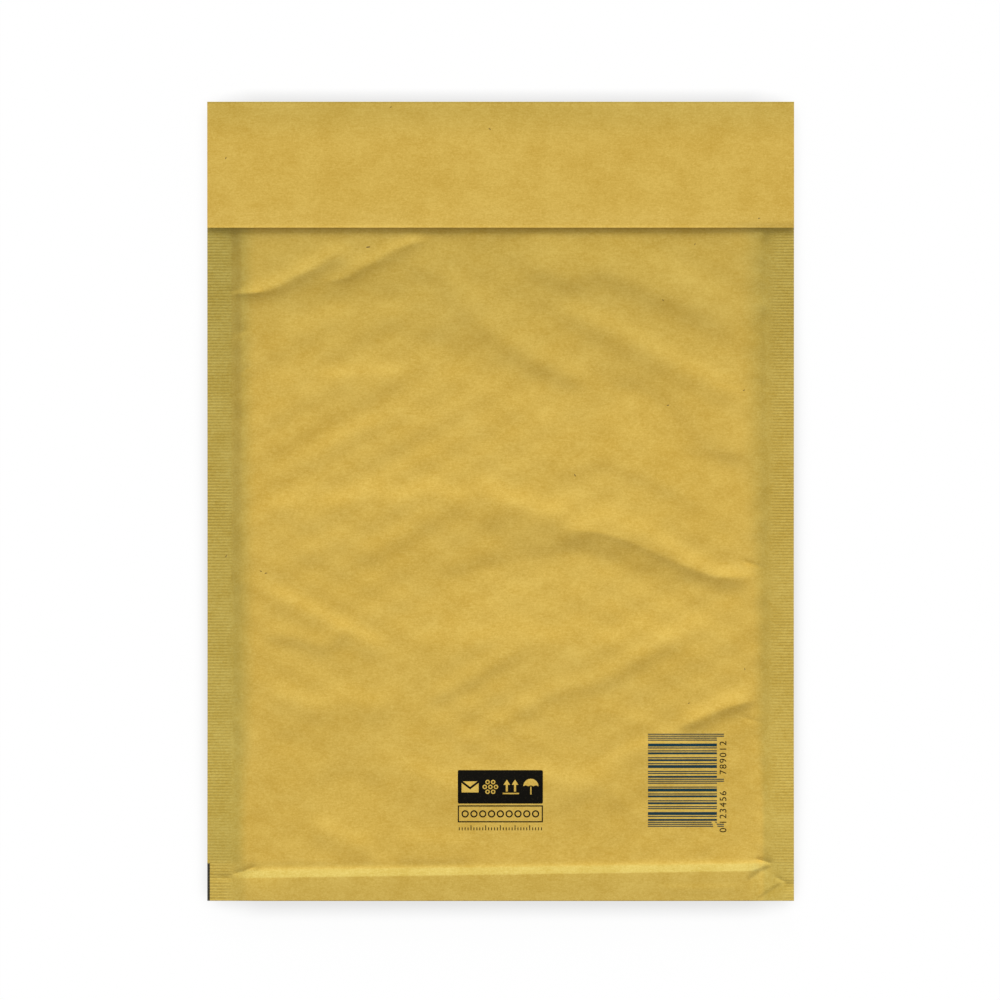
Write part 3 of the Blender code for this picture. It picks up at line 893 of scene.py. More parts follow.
def pictogram_outlines():
    """A dark panel with four signs left bare, a row of bubbles in a box, and a row of ticks under them."""
    outlines = [box_outline(-14.5, 9.1, 14.5, 20.5, 0.5)]
    envelope = [(-2.9, -1.9), (2.9, -1.9), (2.9, 1.35), (0, -0.85), (-2.9, 1.35)]
    lid = [(-2.5, 1.9), (0, 0.0), (2.5, 1.9)]
    outlines += [moved(envelope, -10.3, 14.8), moved(lid, -10.3, 14.8)]
    for step in range(7):
        turn = radians(60 * step)
        reach = 0 if step == 6 else 1.9
        outlines.append(ring(-3.4 + reach * cos(turn), 14.8 + reach * sin(turn), 0.78))
        outlines.append(ring(-3.4 + reach * cos(turn), 14.8 + reach * sin(turn), 0.38, 14))
    arrow = [(-0.35, -1.6), (0.35, -1.6), (0.35, 0.7), (1.15, 0.7), (0, 2.5), (-1.15, 0.7), (-0.35, 0.7)]
    outlines += [moved(arrow, 2.2, 14.8), moved(arrow, 5.0, 14.8), box_outline(0.8, 12.3, 6.4, 12.8)]
    dome = [(2.6 * cos(radians(turn)), 2.6 * sin(radians(turn))) for turn in range(0, 181, 15)]
    scallops = [(-1.75, 0.35), (-0.85, 0.0), (0, 0.35), (0.85, 0.0), (1.75, 0.35)]
    outlines += [moved(dome + scallops, 10.4, 15.0), box_outline(10.2, 12.2, 10.6, 14.9)]
    outlines += [box_outline(-14.5, 2.7, 14.5, 8.5), box_outline(-14.1, 3.1, 14.1, 8.1)]
    for step in range(9):
        outlines += [ring(-12.0 + 3.0 * step, 5.6, 1.25), ring(-12.0 + 3.0 * step, 5.6, 0.8, 16)]
    for step in range(29):
        outlines.append(box_outline(-14.15 + step, 0.0, -13.85 + step, 1.7 if step % 5 == 4 else 1.0))
    return outlines


def stripe_outlines(width, height):
    """A block of plain stripes whose widths follow a formula, so that they encode nothing."""
    module = height / 95
    outlines = []
    for start, end, widths, gaps in (
        (0, 3, (1, 1), (1,)),
        (4, 45, (1, 2, 1, 3, 1, 1, 2), (1, 2, 1, 3)),
        (46, 49, (1, 1), (1,)),
        (50, 91, (2, 1, 1, 3, 1, 2, 1), (2, 1, 3, 1)),
        (92, 95, (1, 1), (1,)),
    ):
        long = 2.4 if end - start == 3 else 0.0
        place = start
        step = 0
        while place < end:
            dark = min(widths[step % len(widths)], end - place)
            outlines.append(box_outline(0, place * module, width + long, (place + dark) * module))
            place += dark + gaps[step % len(gaps)]
            step += 1
    return outlines


def add(tree, kind, inputs=None, **settings):
    """Add a node with its settings, inputs and links."""
    node = tree.nodes.new(kind)
    for name, value in settings.items():
        setattr(node, name, value)
    for name, value in (inputs or {}).items():
        if isinstance(value, bpy.types.NodeSocket):
            tree.links.new(value, node.inputs[name])
        else:
            node.inputs[name].default_value = value
    return node


def new_material(name):
    """An empty material, its tree and its output node."""
    material = bpy.data.materials.new(name)
    material.use_nodes = True
    tree = material.node_tree
    tree.nodes.clear()
    return material, tree, add(tree, "ShaderNodeOutputMaterial")


def in_millimetres(tree):
    """The place on the object, in millimetres."""
    place = add(tree, "ShaderNodeTexCoord").outputs["Object"]
    return add(tree, "ShaderNodeVectorMath", {0: place, "Scale": 1000.0}, operation="SCALE").outputs[0]


def pulp_tone(tree, in_mm, settings):
    """The paper's tone, between its dark and its light one, in clouds of pulp and streaks of fibre."""
    # Pulp flocks are 3 to 12 mm wide; fibres are 2 to 3 mm long, drawn 0.2 mm wide so that they show
    total = 0.5
    for scale, turn, detail, amount in (
        ((0.08, 0.10, 0.08), 0.0, 2.0, 0.95),
        ((0.22, 0.30, 0.30), 0.3, 3.0, 0.75),
        ((0.45, 4.20, 1.00), 0.0, 2.0, 0.65),
        ((0.55, 3.40, 1.00), 0.6, 2.0, 0.55),
        ((0.60, 3.60, 1.00), -0.7, 2.0, 0.50),
        ((0.80, 0.95, 0.80), 0.0, 1.0, 0.65),
        ((1.50, 1.80, 1.50), 0.0, 2.0, 1.30),
        ((3.20, 3.60, 3.00), 0.0, 2.0, 1.10),
    ):
        turned = {"Vector": in_mm, "Rotation": (0, 0, turn), "Scale": scale}
        layer = add(tree, "ShaderNodeMapping", turned).outputs[0]
        sampled = {"Vector": layer, "Scale": 1.0, "Detail": detail}
        noise = add(tree, "ShaderNodeTexNoise", sampled).outputs[0]
        level = add(tree, "ShaderNodeMath", {0: noise, 1: 0.5}, operation="SUBTRACT").outputs[0]
        sum_so_far = {0: level, 1: amount, 2: total}
        total = add(tree, "ShaderNodeMath", sum_so_far, operation="MULTIPLY_ADD").outputs[0]
    tones = {0: total, "A": (*settings.dark_tone, 1), "B": (*settings.light_tone, 1)}
    return add(tree, "ShaderNodeMix", tones, data_type="RGBA").outputs["Result"]


def paper_regions(tree, in_mm):
    """A function that gives how far a place is inside a region of the paper, from the region's limits.

    A limit names what is measured: place and distance from the middle in millimetres, Y along the ramp's
    tilted crest, how far the paper faces up, or whether it is the flap.
    """
    axes = add(tree, "ShaderNodeSeparateXYZ", {0: in_mm}).outputs
    normal = add(tree, "ShaderNodeTexCoord").outputs["Normal"]
    facing = add(tree, "ShaderNodeSeparateXYZ", {0: normal}).outputs
    along_crest = {0: axes[0], 1: -CREST_TILT, 2: axes[1]}
    values = {
        "x": axes[0],
        "y": axes[1],
        "z": axes[2],
        "side": add(tree, "ShaderNodeMath", {0: axes[0]}, operation="ABSOLUTE").outputs[0],
        "crest": add(tree, "ShaderNodeMath", along_crest, operation="MULTIPLY_ADD").outputs[0],
        "up": facing[2],
    }

    def share_of(*limits):
        """1 inside all the limits, 0 outside; each rises from 0 at its first number to 1 at its second."""
        share = 1.0
        for name, start, end in limits:
            span = {0: values[name], 1: start, 2: end}
            level = add(tree, "ShaderNodeMapRange", span, interpolation_type="SMOOTHSTEP").outputs[0]
            share = add(tree, "ShaderNodeMath", {0: share, 1: level}, operation="MULTIPLY").outputs[0]
        return share

    values["flap"] = share_of(("y", 93.0, 93.08), ("z", 7.4, 7.5))
    return share_of


def pressed_and_groove_shade(tree, share_of):
    """Share of the seams' tint: denser paper on the seams, and painted shade on the padding's edge beside
    them; less on the right and at the bottom.
    """
    # The tint and its painted shade reach less far in on the right and near the bottom, and on the front
    # only just past the seams
    start = 82.5
    near_bottom = ("y", -70.0, -110.0)
    for limits, change in (((RIGHT,), 3.0), ((RIGHT, ("y", -50.0, 30.0)), -5.0), ((near_bottom,), 3.0)):
        changed = {0: share_of(*limits), 1: change, 2: start}
        start = add(tree, "ShaderNodeMath", changed, operation="MULTIPLY_ADD").outputs[0]
    chosen = {0: share_of(("up", -0.3, 0.0)), "A": 89.0, "B": start}
    start = add(tree, "ShaderNodeMix", chosen).outputs["Result"]
    pressed_and_shaded = share_of(("side", start, 90.5), ("y", 133.0, 123.0), POUCH)
    weaker = 1.0
    for limit, change in ((ON_SHELF, -0.33), (RIGHT, -0.32)):
        changed = {0: share_of(limit), 1: change, 2: 1.0}
        level = add(tree, "ShaderNodeMath", changed, operation="MULTIPLY_ADD").outputs[0]
        weaker = add(tree, "ShaderNodeMath", {0: level, 1: weaker}, operation="MINIMUM").outputs[0]
    return add(tree, "ShaderNodeMath", {0: pressed_and_shaded, 1: weaker}, operation="MULTIPLY").outputs[0]


def kraft_paper(settings):
    """Golden brown machine-finished kraft paper: matt, with fine streaks of fibre and soft clouds."""
    material, tree, output = new_material("kraft_paper_machine_finished")
    in_mm = in_millimetres(tree)
    tone = pulp_tone(tree, in_mm, settings)
    share_of = paper_regions(tree, in_mm)

    # Pressed paper is denser, darker and less red: on the seams and on the fold along the bottom. The
    # seams' tint runs on over the padding's edge beside them as painted shade, and along the padding's left
    # edge a further tint is painted shade in the groove there. The ramp up to the fold, which faces the
    # light, gets a pale painted sheen, and the fold's right end a fainter one. Near the flap the back is
    # darkened with painted shade, and so is the flap near the top fold, while its free edge is lightened
    # with a painted highlight.
    # Along the top fold's crest a thin dark line is painted shade.
    for share, tint in (
        # Seams: denser, less red paper, and painted shade on the padding's edge beside them
        (pressed_and_groove_shade(tree, share_of), settings.seam_and_groove_shade_tint),
        # Painted shade in the groove along the padding's left edge
        (share_of(*IN_LEFT_GROOVE, ("y", -60.0, 40.0), *BACK), LEFT_GROOVE_SHADE_TINT),
        (share_of(ON_SHELF, ("side", 91.0, 87.0), *BACK), settings.fold_tint),
        # Painted sheen, paler and bluer, on the right end of the fold, whose facets face the light
        (share_of(ON_SHELF, ("x", 83.0, 88.0), *BACK), FOLD_END_SHEEN_TINT),
        # Painted sheen on the ramp, which faces the light
        (share_of(*ON_RAMP, ("side", 91.0, 86.0), *BACK), RAMP_SHEEN_TINT),
        # Painted shade on the back, darker towards the flap
        (share_of(("y", 22.0, 82.0), *BACK), NEAR_FLAP_SHADE_TINT),
        # Painted shade on the paper near the top fold
        (share_of(("y", 120.0, 135.0)), NEAR_TOP_SHADE_TINT),
        # Painted highlight on the flap near its free edge
        (share_of(("flap", 0.0, 1.0), ("y", 103.0, 95.0)), FREE_EDGE_HIGHLIGHT_TINT),
        # Painted shade as a thin dark line along the top fold's crest
        (share_of(("y", 135.3, 135.7), ("up", 0.0, 0.4)), TOP_FOLD_SHADE_TINT),
    ):
        tinted = {0: share, "A": tone, "B": (*tint, 1)}
        tone = add(tree, "ShaderNodeMix", tinted, data_type="RGBA", blend_type="MULTIPLY").outputs["Result"]

    # Fibres stand 5 to 10 micrometres out of the surface
    fine = add(tree, "ShaderNodeTexNoise", {"Vector": in_mm, "Scale": 5.0, "Detail": 4.0}).outputs[0]
    relief = {"Height": fine, "Strength": 0.35, "Distance": 0.00004}
    bump = add(tree, "ShaderNodeBump", relief).outputs[0]
    surface = {
        "Base Color": tone,
        "Normal": bump,
        "Roughness": 0.82,
        "IOR": 1.5,
        "Specular IOR Level": 0.18,
    }
    tree.links.new(add(tree, "ShaderNodeBsdfPrincipled", surface).outputs[0], output.inputs[0])
    return material


def two_toned(name, grain, colours, surface, relief=None):
    """A material of two tones that a fine noise mixes: fibres, coating lines, haze or broken ink.

    The grain is the noise's scale in 1/mm on each axis, its detail, and the levels where each tone is pure.
    The relief, if there is one, is the strength and the height in metres with which the noise stands out.
    """
    material, tree, output = new_material(name)
    scale, detail, first, last = grain
    placed = {"Vector": in_millimetres(tree), "Scale": scale}
    stretched = add(tree, "ShaderNodeMapping", placed).outputs[0]
    sampled = {"Vector": stretched, "Scale": 1.0, "Detail": detail}
    noise = add(tree, "ShaderNodeTexNoise", sampled).outputs[0]
    share = add(tree, "ShaderNodeMapRange", {0: noise, 1: first, 2: last}).outputs[0]
    tones = {0: share, "A": (*colours[0], 1), "B": (*colours[1], 1)}
    surface["Base Color"] = add(tree, "ShaderNodeMix", tones, data_type="RGBA").outputs["Result"]
    if relief:
        raised = {"Height": noise, "Strength": relief[0], "Distance": relief[1]}
        surface["Normal"] = add(tree, "ShaderNodeBump", raised).outputs[0]
    tree.links.new(add(tree, "ShaderNodeBsdfPrincipled", surface).outputs[0], output.inputs[0])
    return material


def printed_ink(name, thick, thin):
    """Water-based flexo ink printed on kraft: matt, and so thin that fibres break it up every 0.5 mm."""
    grain = ((2.2, 2.2, 2.2), 4.0, 0.55, 0.85)
    surface = {"Roughness": 0.85, "Specular IOR Level": 0.07, "IOR": 1.5}
    return two_toned(name, grain, (thick, thin), surface)


def wood_speck():
    """Shive, a bit of bark or wood left in the pulp: dark brown and matt."""
    colours = (linear("4A3614"), linear("86682A"))
    return two_toned("shive_unbleached", ((4.0, 4.0, 4.0), 2.0, 0.0, 1.0), colours, {"Roughness": 0.8})


def hot_melt(settings):
    """Hot-melt adhesive coated as a band: pale amber, glossy and tacky, with coating lines 0.5 mm apart."""
    grain = ((0.05, 2.0, 1.0), 3.0, 0.0, 1.0)
    colours = (settings.adhesive_colour, linear("F0E7CC"))
    surface = {"Roughness": 0.3, "IOR": 1.48}
    return two_toned("hot_melt_adhesive_coated", grain, colours, surface, relief=(0.4, 0.00005))


def release_paper(settings):
    """White glassine with a silicone coat: dense, smooth, with a slight sheen and faint wire marks."""
    grain = ((0.5, 2.5, 1.0), 4.0, 0.0, 1.0)
    colours = (settings.liner_colour, linear("FAFAF7"))
    surface = {"Roughness": 0.38, "IOR": 1.5}
    return two_toned("glassine_siliconised", grain, colours, surface, relief=(0.25, 0.00002))


def bubble_film(settings):
    """Low-density polyethylene film, blown and vacuum-formed: clear, slightly milky, with a soft gloss.

    Its haze lies in clouds 3 mm wide, and the blowing leaves faint wrinkles 0.4 mm apart.
    """
    material, tree, output = new_material("polyethylene_film_formed")
    in_mm = in_millimetres(tree)
    haze = add(tree, "ShaderNodeTexNoise", {"Vector": in_mm, "Scale": 0.35, "Detail": 3.0}).outputs[0]
    tones = {0: haze, "A": (*settings.film_colour, 1), "B": (*settings.film_light, 1)}
    tone = add(tree, "ShaderNodeMix", tones, data_type="RGBA").outputs["Result"]
    streaks = add(tree, "ShaderNodeMapping", {"Vector": in_mm, "Scale": (0.15, 2.4, 0.5)}).outputs[0]
    wrinkles = add(tree, "ShaderNodeTexNoise", {"Vector": streaks, "Scale": 1.0, "Detail": 3.0}).outputs[0]
    raised = {"Height": wrinkles, "Strength": 0.3, "Distance": 0.0001}
    bump = add(tree, "ShaderNodeBump", raised).outputs[0]
    rough = add(tree, "ShaderNodeMapRange", {0: haze, 1: 0.3, 2: 0.7, 3: 0.18, 4: 0.32}).outputs[0]
    surface = {
        "Base Color": tone,
        "Normal": bump,
        "Roughness": rough,
        "IOR": 1.51,
        "Transmission Weight": 0.6,
    }
    tree.links.new(add(tree, "ShaderNodeBsdfPrincipled", surface).outputs[0], output.inputs[0])
    return material


def colour_setting(name, description, code):
    """A colour that the user can change, from its sRGB hex value."""
    return FloatVectorProperty(
        name=name, description=description, subtype="COLOR", size=3, min=0, max=1, default=linear(code)
    )


def length_setting(name, description, default):
    """A length in metres that the user can change."""
    return FloatProperty(
        name=name, description=description, unit="LENGTH", min=0, precision=5, default=default
    )


def angle_setting(name, description, degrees):
    """An angle that the user can change, from its degrees."""
    return FloatProperty(name=name, description=description, unit="ROTATION", default=radians(degrees))


class CoverSettings(bpy.types.PropertyGroup):
    """Sizes and colours of the kraft paper cover and its print."""

    paper_thickness: length_setting("Paper", "Thickness of the kraft paper", 0.00015)
    rib_pitch: length_setting("Rib Pitch", "Distance between the ribs of the side seams", 0.001)
    rib_depth: length_setting("Rib Depth", "Height of the ribs over and under the seam", 0.00009)
    relief: FloatProperty(
        name="Relief", description="How strongly creases and bubbles show", min=0, max=2, default=1
    )
    dark_tone: colour_setting("Dark Tone", "Kraft paper where the pulp is dense", "C6A140")
    light_tone: colour_setting("Light Tone", "Kraft paper where the pulp is thin", "D9B859")
    # Beside the seams this tint is also painted shade on the padding's edge
    seam_and_groove_shade_tint: colour_setting("Seam Tint", "What the sealed seams multiply the tone by", "E3EEF9")
    fold_tint: colour_setting("Fold Tint", "What the bottom fold multiplies the tone by", "F5F8FC")
    ink_colour: colour_setting("Ink", "Black ink where it lies thick", "0B0905")
    thin_ink_colour: colour_setting("Thin Ink", "Black ink where it lies thin", "2A2518")
    mark_colour: colour_setting("Mark Ink", "Black ink of the registration mark", "3F3C32")
    code_ink_colour: colour_setting("Code Ink", "Blue-black ink of the stripes", "1C3942")
    ink_thickness: length_setting("Ink Thickness", "How far the ink stands out of the paper", 0.00002)
    numerals: StringProperty(
        name="Numerals", description="Plain digits beside the stripes", default="0 123456 789012"
    )


class LiningSettings(bpy.types.PropertyGroup):
    """Sizes and colours of the bubble film."""

    bubble_width: length_setting("Bubble Width", "Width of a bubble at its foot", 0.010)
    film_thickness: length_setting("Film", "Thickness of the flat film", 0.0001)
    segments: IntProperty(name="Segments", description="Corners round a bubble", min=8, max=48, default=14)
    film_colour: colour_setting("Film", "Film where it is clearest", "DDE2E4")
    film_light: colour_setting("Milky Film", "Film where it is milky", "F4F6F6")


class ClosureSettings(bpy.types.PropertyGroup):
    """Sizes and colours of the self-seal closure on the inner side of the flap."""

    strip_thickness: length_setting("Adhesive", "Thickness of the adhesive", 0.0001)
    liner_thickness: length_setting("Liner", "Thickness of the release liner", 0.0001)
    adhesive_colour: colour_setting("Adhesive", "Hot-melt adhesive", "E6DCC0")
    liner_colour: colour_setting("Liner", "Release liner", "EEEEEA")


class StageSettings(bpy.types.PropertyGroup):
    """Camera, lights and floor."""

    view_width: length_setting("View Width", "Width that the camera takes in", 0.3407)
    key_elevation: angle_setting("Key Elevation", "Height of the light over the floor", 25)
    key_size: angle_setting("Key Size", "How wide the light is seen from the envelope", 34)
    key_share: FloatProperty(
        name="Key Share", description="The key's share of all the light", min=0, max=1, default=0.38
    )
    floor_colour: colour_setting("Floor", "White floor", "FFFFFF")


class PaddedOperator:
    """What the operators share."""

    bl_options = {"REGISTER", "UNDO"}

    def execute(self, context):
        """Build the pieces; a mistake raises an error."""
        self.build(context.scene)
        return {"FINISHED"}


class ENVELOPE_OT_cover(PaddedOperator, bpy.types.Operator):
    """Fold the kraft paper cover with its side seams, flap, creases and registration mark"""

    bl_idname = "envelope.cover"
    bl_label = "Kraft Paper Cover"

    def build(self, scene):
        """One sheet of paper, 200 mm wide, folded to an envelope."""
        settings = scene.envelope_cover
        mark_ink = printed_ink("flexo_ink_mark", settings.mark_colour, settings.mark_colour)
        cover = Cover(settings).finish("kraft_paper_cover", kraft_paper(settings), mark_ink)
        for polygon in cover.data.polygons:
            middle = polygon.center / MM
            if middle.x < MARK_X and middle.y < MARK_Y and polygon.normal.z > 0.3:
                polygon.material_index = 1
        declare(cover, "kraft_paper", "kraft_cover")


class ENVELOPE_OT_print(PaddedOperator, bpy.types.Operator):
    """Print the plain pictogram, the stripes and the digits, and lay the specks in the paper"""

    bl_idname = "envelope.print"
    bl_label = "Print and Specks"

    def build(self, scene):
        """Thin layers of ink that follow the paper's creases."""
        settings = scene.envelope_cover
        black = printed_ink("flexo_ink_black", settings.ink_colour, settings.thin_ink_colour)
        lift = settings.ink_thickness / MM
        blue_black = printed_ink("flexo_ink_blue_black", settings.code_ink_colour, settings.code_ink_colour)
        for name, outlines, place, ink in (
            ("printed_pictogram", pictogram_outlines(), PICTOGRAM_AT, black),
            ("printed_stripes", stripe_outlines(*STRIPES_SIZE), STRIPES_AT, blue_black),
        ):
            drawn = outline_faces(outlines)
            bmesh.ops.translate(drawn, vec=(*place, 0), verts=drawn.verts)
            declare(object_from(laid_on_paper(drawn, back_surface, lift), name, ink), "kraft_paper")
        groups = []
        quarter_turn = Matrix.Rotation(pi / 2, 3, "Z")
        for characters, start in zip(settings.numerals.split(), NUMERAL_STARTS):
            text = bpy.data.curves.new("numerals", "FONT")
            text.body = characters
            text.size = NUMERAL_SIZE
            text.space_character = 1.2
            group = faces_of(text)
            bmesh.ops.rotate(group, cent=(0, 0, 0), matrix=quarter_turn, verts=group.verts)
            bmesh.ops.translate(group, vec=(NUMERALS_LINE, start, 0), verts=group.verts)
            groups.append(laid_on_paper(group, back_surface, lift))
        declare(object_from(merged(groups), "printed_numerals", black), "kraft_paper")
        self.lay_specks(lift)

    def lay_specks(self, lift):
        """Small uneven flakes, flush with the paper."""
        rng = np.random.default_rng(12)
        on_flap = []
        on_panel = []
        for x, y, length, direction in SPECKS:
            points = []
            for step in range(9):
                angle = 2 * pi * step / 9
                reach = rng.uniform(0.75, 1.1)
                along = 0.5 * length * reach * cos(angle)
                across = (0.08 + 0.09 * length) * reach * sin(angle)
                points.append((along, across))
            turn = cos(radians(direction)), sin(radians(direction))
            points = [(x + a * turn[0] - b * turn[1], y + a * turn[1] + b * turn[0]) for a, b in points]
            (on_flap if y > FLAP_EDGE else on_panel).append(points)
        parts = [
            laid_on_paper(outline_faces(on_flap), flap_surface, lift, cell=5.0),
            laid_on_paper(outline_faces(on_panel), back_surface, lift, cell=5.0),
        ]
        declare(object_from(merged(parts), "paper_specks", wood_speck()), "kraft_paper")


class ENVELOPE_OT_lining(PaddedOperator, bpy.types.Operator):
    """Line the envelope with a pouch of bubble film, its bubbles towards the paper"""

    bl_idname = "envelope.lining"
    bl_label = "Bubble Lining"

    def build(self, scene):
        """A flat film pouch, and a closed cap for each bubble on both of its sides."""
        settings = scene.envelope_lining
        sheet = Sheet()
        film = settings.film_thickness / MM
        self.add_pouch(sheet, film)
        for sign in (1, -1):
            self.add_bubbles(sheet, settings, sign, film)
        lining = sheet.finish("bubble_film_lining", bubble_film(settings))
        declare(lining, "bubble_film", "bubble_lining")

    def middle(self, x, y):
        """Height half-way between the two panels."""
        return seam_line(x, np.clip(y, BOTTOM_END + 3.0, MOUTH))

    def add_pouch(self, sheet, film):
        """Two film layers, each with an outer and an inner side, welded along the sides and the bottom."""
        half_width = lining_high.x
        columns = mirrored(np.append(steps_to(0, half_width - 4, 5.0)[1:], (half_width - 1.5, half_width)))
        rows = steps_to(lining_high.y, BOTTOM_END + 4.0, 5.0)
        rows = np.append(rows, (BOTTOM_END + 2.0, BOTTOM_END + 1.2))

        def layer(flat, full, weld):
            """One side of a film, which ends before a weld of this width.

            Its distance from the middle is flat at the welds and full away from them.
            """
            x, y = np.meshgrid(columns, rows, indexing="ij")
            share = smooth((half_width - np.abs(x)) / 6.0) * smooth((y - rows[-1]) / 4.0)
            x = x * (1 - weld / half_width)
            y = y + weld * smooth((rows[-1] + 6 - y) / 6)
            sign = np.sign(full)
            return sheet.add(x, y, self.middle(x, y) + sign * (flat + (abs(full) - flat) * share))

        weld = 1.2
        up_out = layer(film, POUCH_GAP + film, 0.0)
        up_in = layer(WELD_GAP, POUCH_GAP, weld)
        low_in = layer(WELD_GAP, -POUCH_GAP, weld)
        low_out = layer(film, -POUCH_GAP - film, 0.0)
        for numbers in (up_out, up_in, low_in, low_out):
            sheet.grid(numbers)
        sheet.join(up_out[:, 0], up_in[:, 0], columns, columns)
        sheet.join(low_out[:, 0], low_in[:, 0], columns, columns)
        for upper, lower in ((up_out, low_out), (up_in, low_in)):
            for side in (0, -1):
                sheet.join(upper[side], lower[side], -rows, -rows)
            sheet.join(upper[:, -1], lower[:, -1], columns, columns)
        for side in (0, -1):
            sheet.face(*(numbers[side, 0] for numbers in (up_out, up_in, low_in, low_out)))

    def bubble_places(self, sign):
        """X and Y of the bubbles of one layer, where the rows that show through the paper cross."""
        across = np.array([normal for _, normal, _ in BUBBLE_ROWS])
        across = across / np.array([[pitch] for pitch, _, _ in BUBBLE_ROWS])
        offset = np.array([turn for _, _, turn in BUBBLE_ROWS]) / (2 * pi)
        rows = np.array([(i, j) for i in range(-40, 41) for j in range(-40, 41)])
        x, y = np.linalg.solve(across, (rows - offset).T)
        # The other layer's film is folded over, so its rows are mirrored
        y = y * sign
        inside = (np.abs(x) < lining_high.x - 3.5) & (y > BOTTOM_END + 6) & (y < lining_high.y - 4)
        return x[inside], y[inside]

    def add_bubbles(self, sheet, settings, sign, film):
        """Caps on one side of the pouch, each as high as the paper over it leaves room for."""
        x, y = self.bubble_places(sign)
        foot = self.middle(x, y) + sign * (POUCH_GAP + film)
        radius = settings.bubble_width / MM / 2
        count = settings.segments
        turns = 2 * pi * np.arange(count) / count
        share, rise = np.array(BUBBLE_PROFILE).T
        surface = back_surface if sign > 0 else front_surface
        height = np.full(len(x), BUBBLE_HIGHEST)
        for near, up in zip(share[1:], rise[1:]):
            for turn in turns:
                paper = surface(x + radius * near * cos(turn), y + radius * near * sin(turn))
                height = np.minimum(height, (np.abs(paper - foot) - BUBBLE_ROOM) / up)
        high_enough = height > BUBBLE_LOWEST
        x, y, foot, height = (values[high_enough][:, None, None] for values in (x, y, foot, height))
        ring_x = x + radius * share[None, :, None] * np.cos(turns)
        ring_y = y + radius * share[None, :, None] * np.sin(turns)
        rings = sheet.add(ring_x, ring_y, foot + sign * height * rise[None, :, None])
        tops = sheet.add(x, y, foot + sign * height)[:, :, 0]
        low, high = rings[:, :-1], rings[:, 1:]
        walls = (low, np.roll(low, -1, axis=2), np.roll(high, -1, axis=2), high)
        sheet.faces += np.stack([corner.ravel() for corner in walls], axis=1).tolist()
        last = rings[:, -1]
        crown = (last, np.roll(last, -1, axis=1), np.broadcast_to(tops, last.shape))
        sheet.faces += np.stack([corner.ravel() for corner in crown], axis=1).tolist()
        sheet.faces += rings[:, 0].tolist()


class ENVELOPE_OT_closure(PaddedOperator, bpy.types.Operator):
    """Lay the adhesive band and its release liner under the flap"""

    bl_idname = "envelope.closure"
    bl_label = "Self-seal Closure"

    def build(self, scene):
        """Two thin bands that follow the flap's inner side."""
        settings = scene.envelope_closure
        paper = scene.envelope_cover.paper_thickness / MM
        strip = settings.strip_thickness / MM
        liner = settings.liner_thickness / MM
        gap = 0.02

        def band(name, low, high, depth, thickness, curl, material):
            """A band under the flap with slightly uneven long edges; its ends may curl down."""
            sheet = Sheet()
            columns = steps_to(low.x, high.x, 2.0)
            shares = steps_to(0, 1, 0.08)
            x, share = np.meshgrid(columns, shares, indexing="ij")
            first = low.y + 0.12 * waver(x, 5.0, 71)
            last = high.y + 0.12 * waver(x, 6.0, 72)
            y = first + (last - first) * share
            drop = curl * smooth((np.abs(x) - high.x + 6) / 6) ** 2
            top = flap_surface(x, y) - paper - depth - drop
            upper = sheet.add(x, y, top)
            lower = sheet.add(x, y, top - thickness)
            sheet.grid(upper)
            sheet.grid(lower)
            for line in (0, -1):
                sheet.join(upper[line], lower[line], shares, shares)
                sheet.join(upper[:, line], lower[:, line], columns, columns)
            return sheet.finish(name, material)

        adhesive = hot_melt(settings)
        strip_band = band("adhesive_band", strip_low, strip_high, gap, strip, 0.0, adhesive)
        declare(strip_band, "adhesive", "seal_strip")
        depth = 2 * gap + strip
        glassine = release_paper(settings)
        liner_band = band("release_liner_strip", liner_low, liner_high, depth, liner, 0.5, glassine)
        declare(liner_band, "release_paper", "release_liner")


